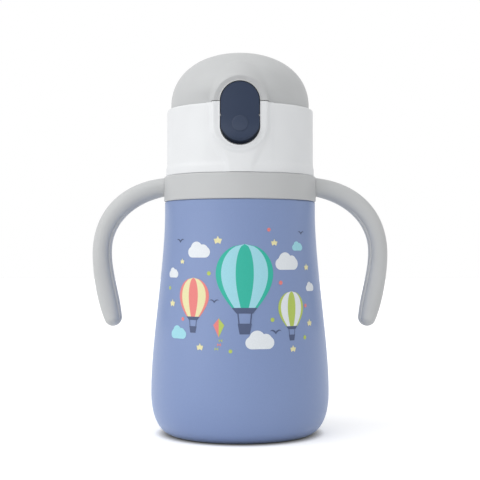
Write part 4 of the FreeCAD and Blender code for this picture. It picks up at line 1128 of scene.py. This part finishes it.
def lay_print(name, shapes, radii):
    """Flat outlines of one ink, cut into short cells and wrapped round the wall."""
    work = bmesh.new()
    for outline in shapes:
        work.faces.new([work.verts.new((x, PRINT_LIFT, z)) for x, z in outline])
    bmesh.ops.triangulate(work, faces=work.faces, ngon_method="EAR_CLIP")
    for axis in (0, 2):
        places = [vert.co[axis] for vert in work.verts]
        normal = Vector((1, 0, 0)) if axis == 0 else Vector((0, 0, 1))
        cut = math.floor(min(places) / PRINT_CELL) * PRINT_CELL
        while cut < max(places):
            everything = list(work.verts) + list(work.edges) + list(work.faces)
            bmesh.ops.bisect_plane(work, geom=everything, plane_co=normal * cut, plane_no=normal)
            cut += PRINT_CELL
    for vert in work.verts:
        vert.co = wall_point(radii, vert.co.x, vert.co.z, vert.co.y) * MM
    face_outwards(work)
    mesh = bpy.data.meshes.new("print_" + name)
    work.to_mesh(mesh)
    work.free()
    mesh.polygons.foreach_set("use_smooth", [True] * len(mesh.polygons))
    mesh.materials.append(print_ink("ink_" + name, INKS[name]))
    thing = place("print_" + name, mesh)
    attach(thing, "flask")


def make_print():
    """One piece for each ink."""
    radii = wall_radii()
    shapes = motifs()
    for name in INKS:
        lay_print(name, [outline for ink, outline in shapes if ink == name], radii)


make_print()


# ---- camera, floor and light ----
CAMERA_DISTANCE = 0.498
CAMERA_HEIGHT = 0.0807
CAMERA_LENS = 82.5
CAMERA_SENSOR = 36.0
CAMERA_NEAR = 0.01
HORIZON_DROP = 14  # the horizon lies this many picture rows under the middle
WORLD_LIGHT = 0.575
FLOOR_HALF = 3000  # in millimetres
FLOOR_ROUGHNESS = 0.9
FLOOR_GLOSS = 0.1
FLOOR_GLOW = 0.36
FLOOR_PALE = 0.90
CONTACT_REACH = 0.004  # reach of the painted contact shade round the foot, in metres
CONTACT_POWER = 0.7
CONTACT_SAMPLES = 12
SUNS = (("key", -60, 36, 75, 1.09), ("top", -20, 78, 90, 0.45), ("front", -25, 4, 60, 0.18))


def add_camera():
    """The photograph's camera: level, in front, with the picture shifted."""
    data = bpy.data.cameras.new("camera")
    data.lens = CAMERA_LENS
    data.sensor_width = CAMERA_SENSOR
    data.shift_y = HORIZON_DROP / PICTURE_PIXELS
    data.clip_start = CAMERA_NEAR
    camera = place("camera", data)
    camera.location = (0, -CAMERA_DISTANCE, CAMERA_HEIGHT)
    camera.rotation_euler = (math.pi / 2, 0, 0)
    bpy.context.scene.camera = camera


def compute(tree, operation, first, second):
    """A sum on a socket and on another socket or a number."""
    node = tree.nodes.new("ShaderNodeMath")
    node.operation = operation
    tree.links.new(first, node.inputs[0])
    if isinstance(second, float):
        node.inputs[1].default_value = second
    else:
        tree.links.new(second, node.inputs[1])
    return node.outputs[0]


def seen_directly(tree):
    """1 for rays from the eye, from mirrors and through glass, and 0 for the light on the object."""
    path = tree.nodes.new("ShaderNodeLightPath")
    found = path.outputs["Is Camera Ray"]
    for kind in ("Is Glossy Ray", "Is Transmission Ray"):
        found = compute(tree, "MAXIMUM", found, path.outputs[kind])
    return found


def add_floor():
    """A pale floor, white where it is lit, with the object's shadow, and painted contact shade from ambient
    occlusion, darkest at the foot.
    """
    half = FLOOR_HALF
    corners = [(-half, -half, 0), (half, -half, 0), (half, half, 0), (-half, half, 0)]
    material, tree, shader = start_material("floor")
    set_inputs(shader, {"Roughness": FLOOR_ROUGHNESS, "Specular IOR Level": FLOOR_GLOSS,
                        "Emission Color": (1, 1, 1, 1)})
    # Painted contact shade: ambient occlusion darkens the floor's colour and its glow next to the object.
    contact = tree.nodes.new("ShaderNodeAmbientOcclusion")
    contact.samples = CONTACT_SAMPLES
    set_inputs(contact, {"Distance": CONTACT_REACH})
    open_sky = compute(tree, "POWER", contact.outputs["AO"], CONTACT_POWER)
    tree.links.new(remap(tree, open_sky, 0.0, FLOOR_PALE), shader.inputs["Base Color"])
    glow = compute(tree, "MULTIPLY", seen_directly(tree), remap(tree, open_sky, 0.0, FLOOR_GLOW))
    tree.links.new(glow, shader.inputs["Emission Strength"])
    floor = new_mesh("floor", corners, [(0, 1, 2, 3)], material, False)


def add_world():
    """A white background that lights the object less than it looks."""
    world = bpy.data.worlds.new("world")
    bpy.context.scene.world = world
    world.use_nodes = True
    tree = world.node_tree
    background = tree.nodes["Background"]
    set_inputs(background, {"Color": (1, 1, 1, 1)})
    tree.links.new(remap(tree, seen_directly(tree), WORLD_LIGHT, 1.0), background.inputs["Strength"])


def add_sun(name, azimuth_deg, height_deg, spread_deg, strength):
    """Soft light from one side, as even on the whole floor as a large studio window's."""
    data = bpy.data.lights.new(name, "SUN")
    data.angle = math.radians(spread_deg)
    data.energy = strength
    azimuth = math.radians(azimuth_deg)
    height = math.radians(height_deg)
    level = math.cos(height)
    towards = Vector((math.sin(azimuth) * level, -math.cos(azimuth) * level, math.sin(height)))
    place(name, data).rotation_euler = towards.to_track_quat("Z", "Y").to_euler()


add_camera()
add_floor()
add_world()
for sun in SUNS:
    add_sun(*sun)

bpy.context.scene.view_settings.view_transform = "Standard"
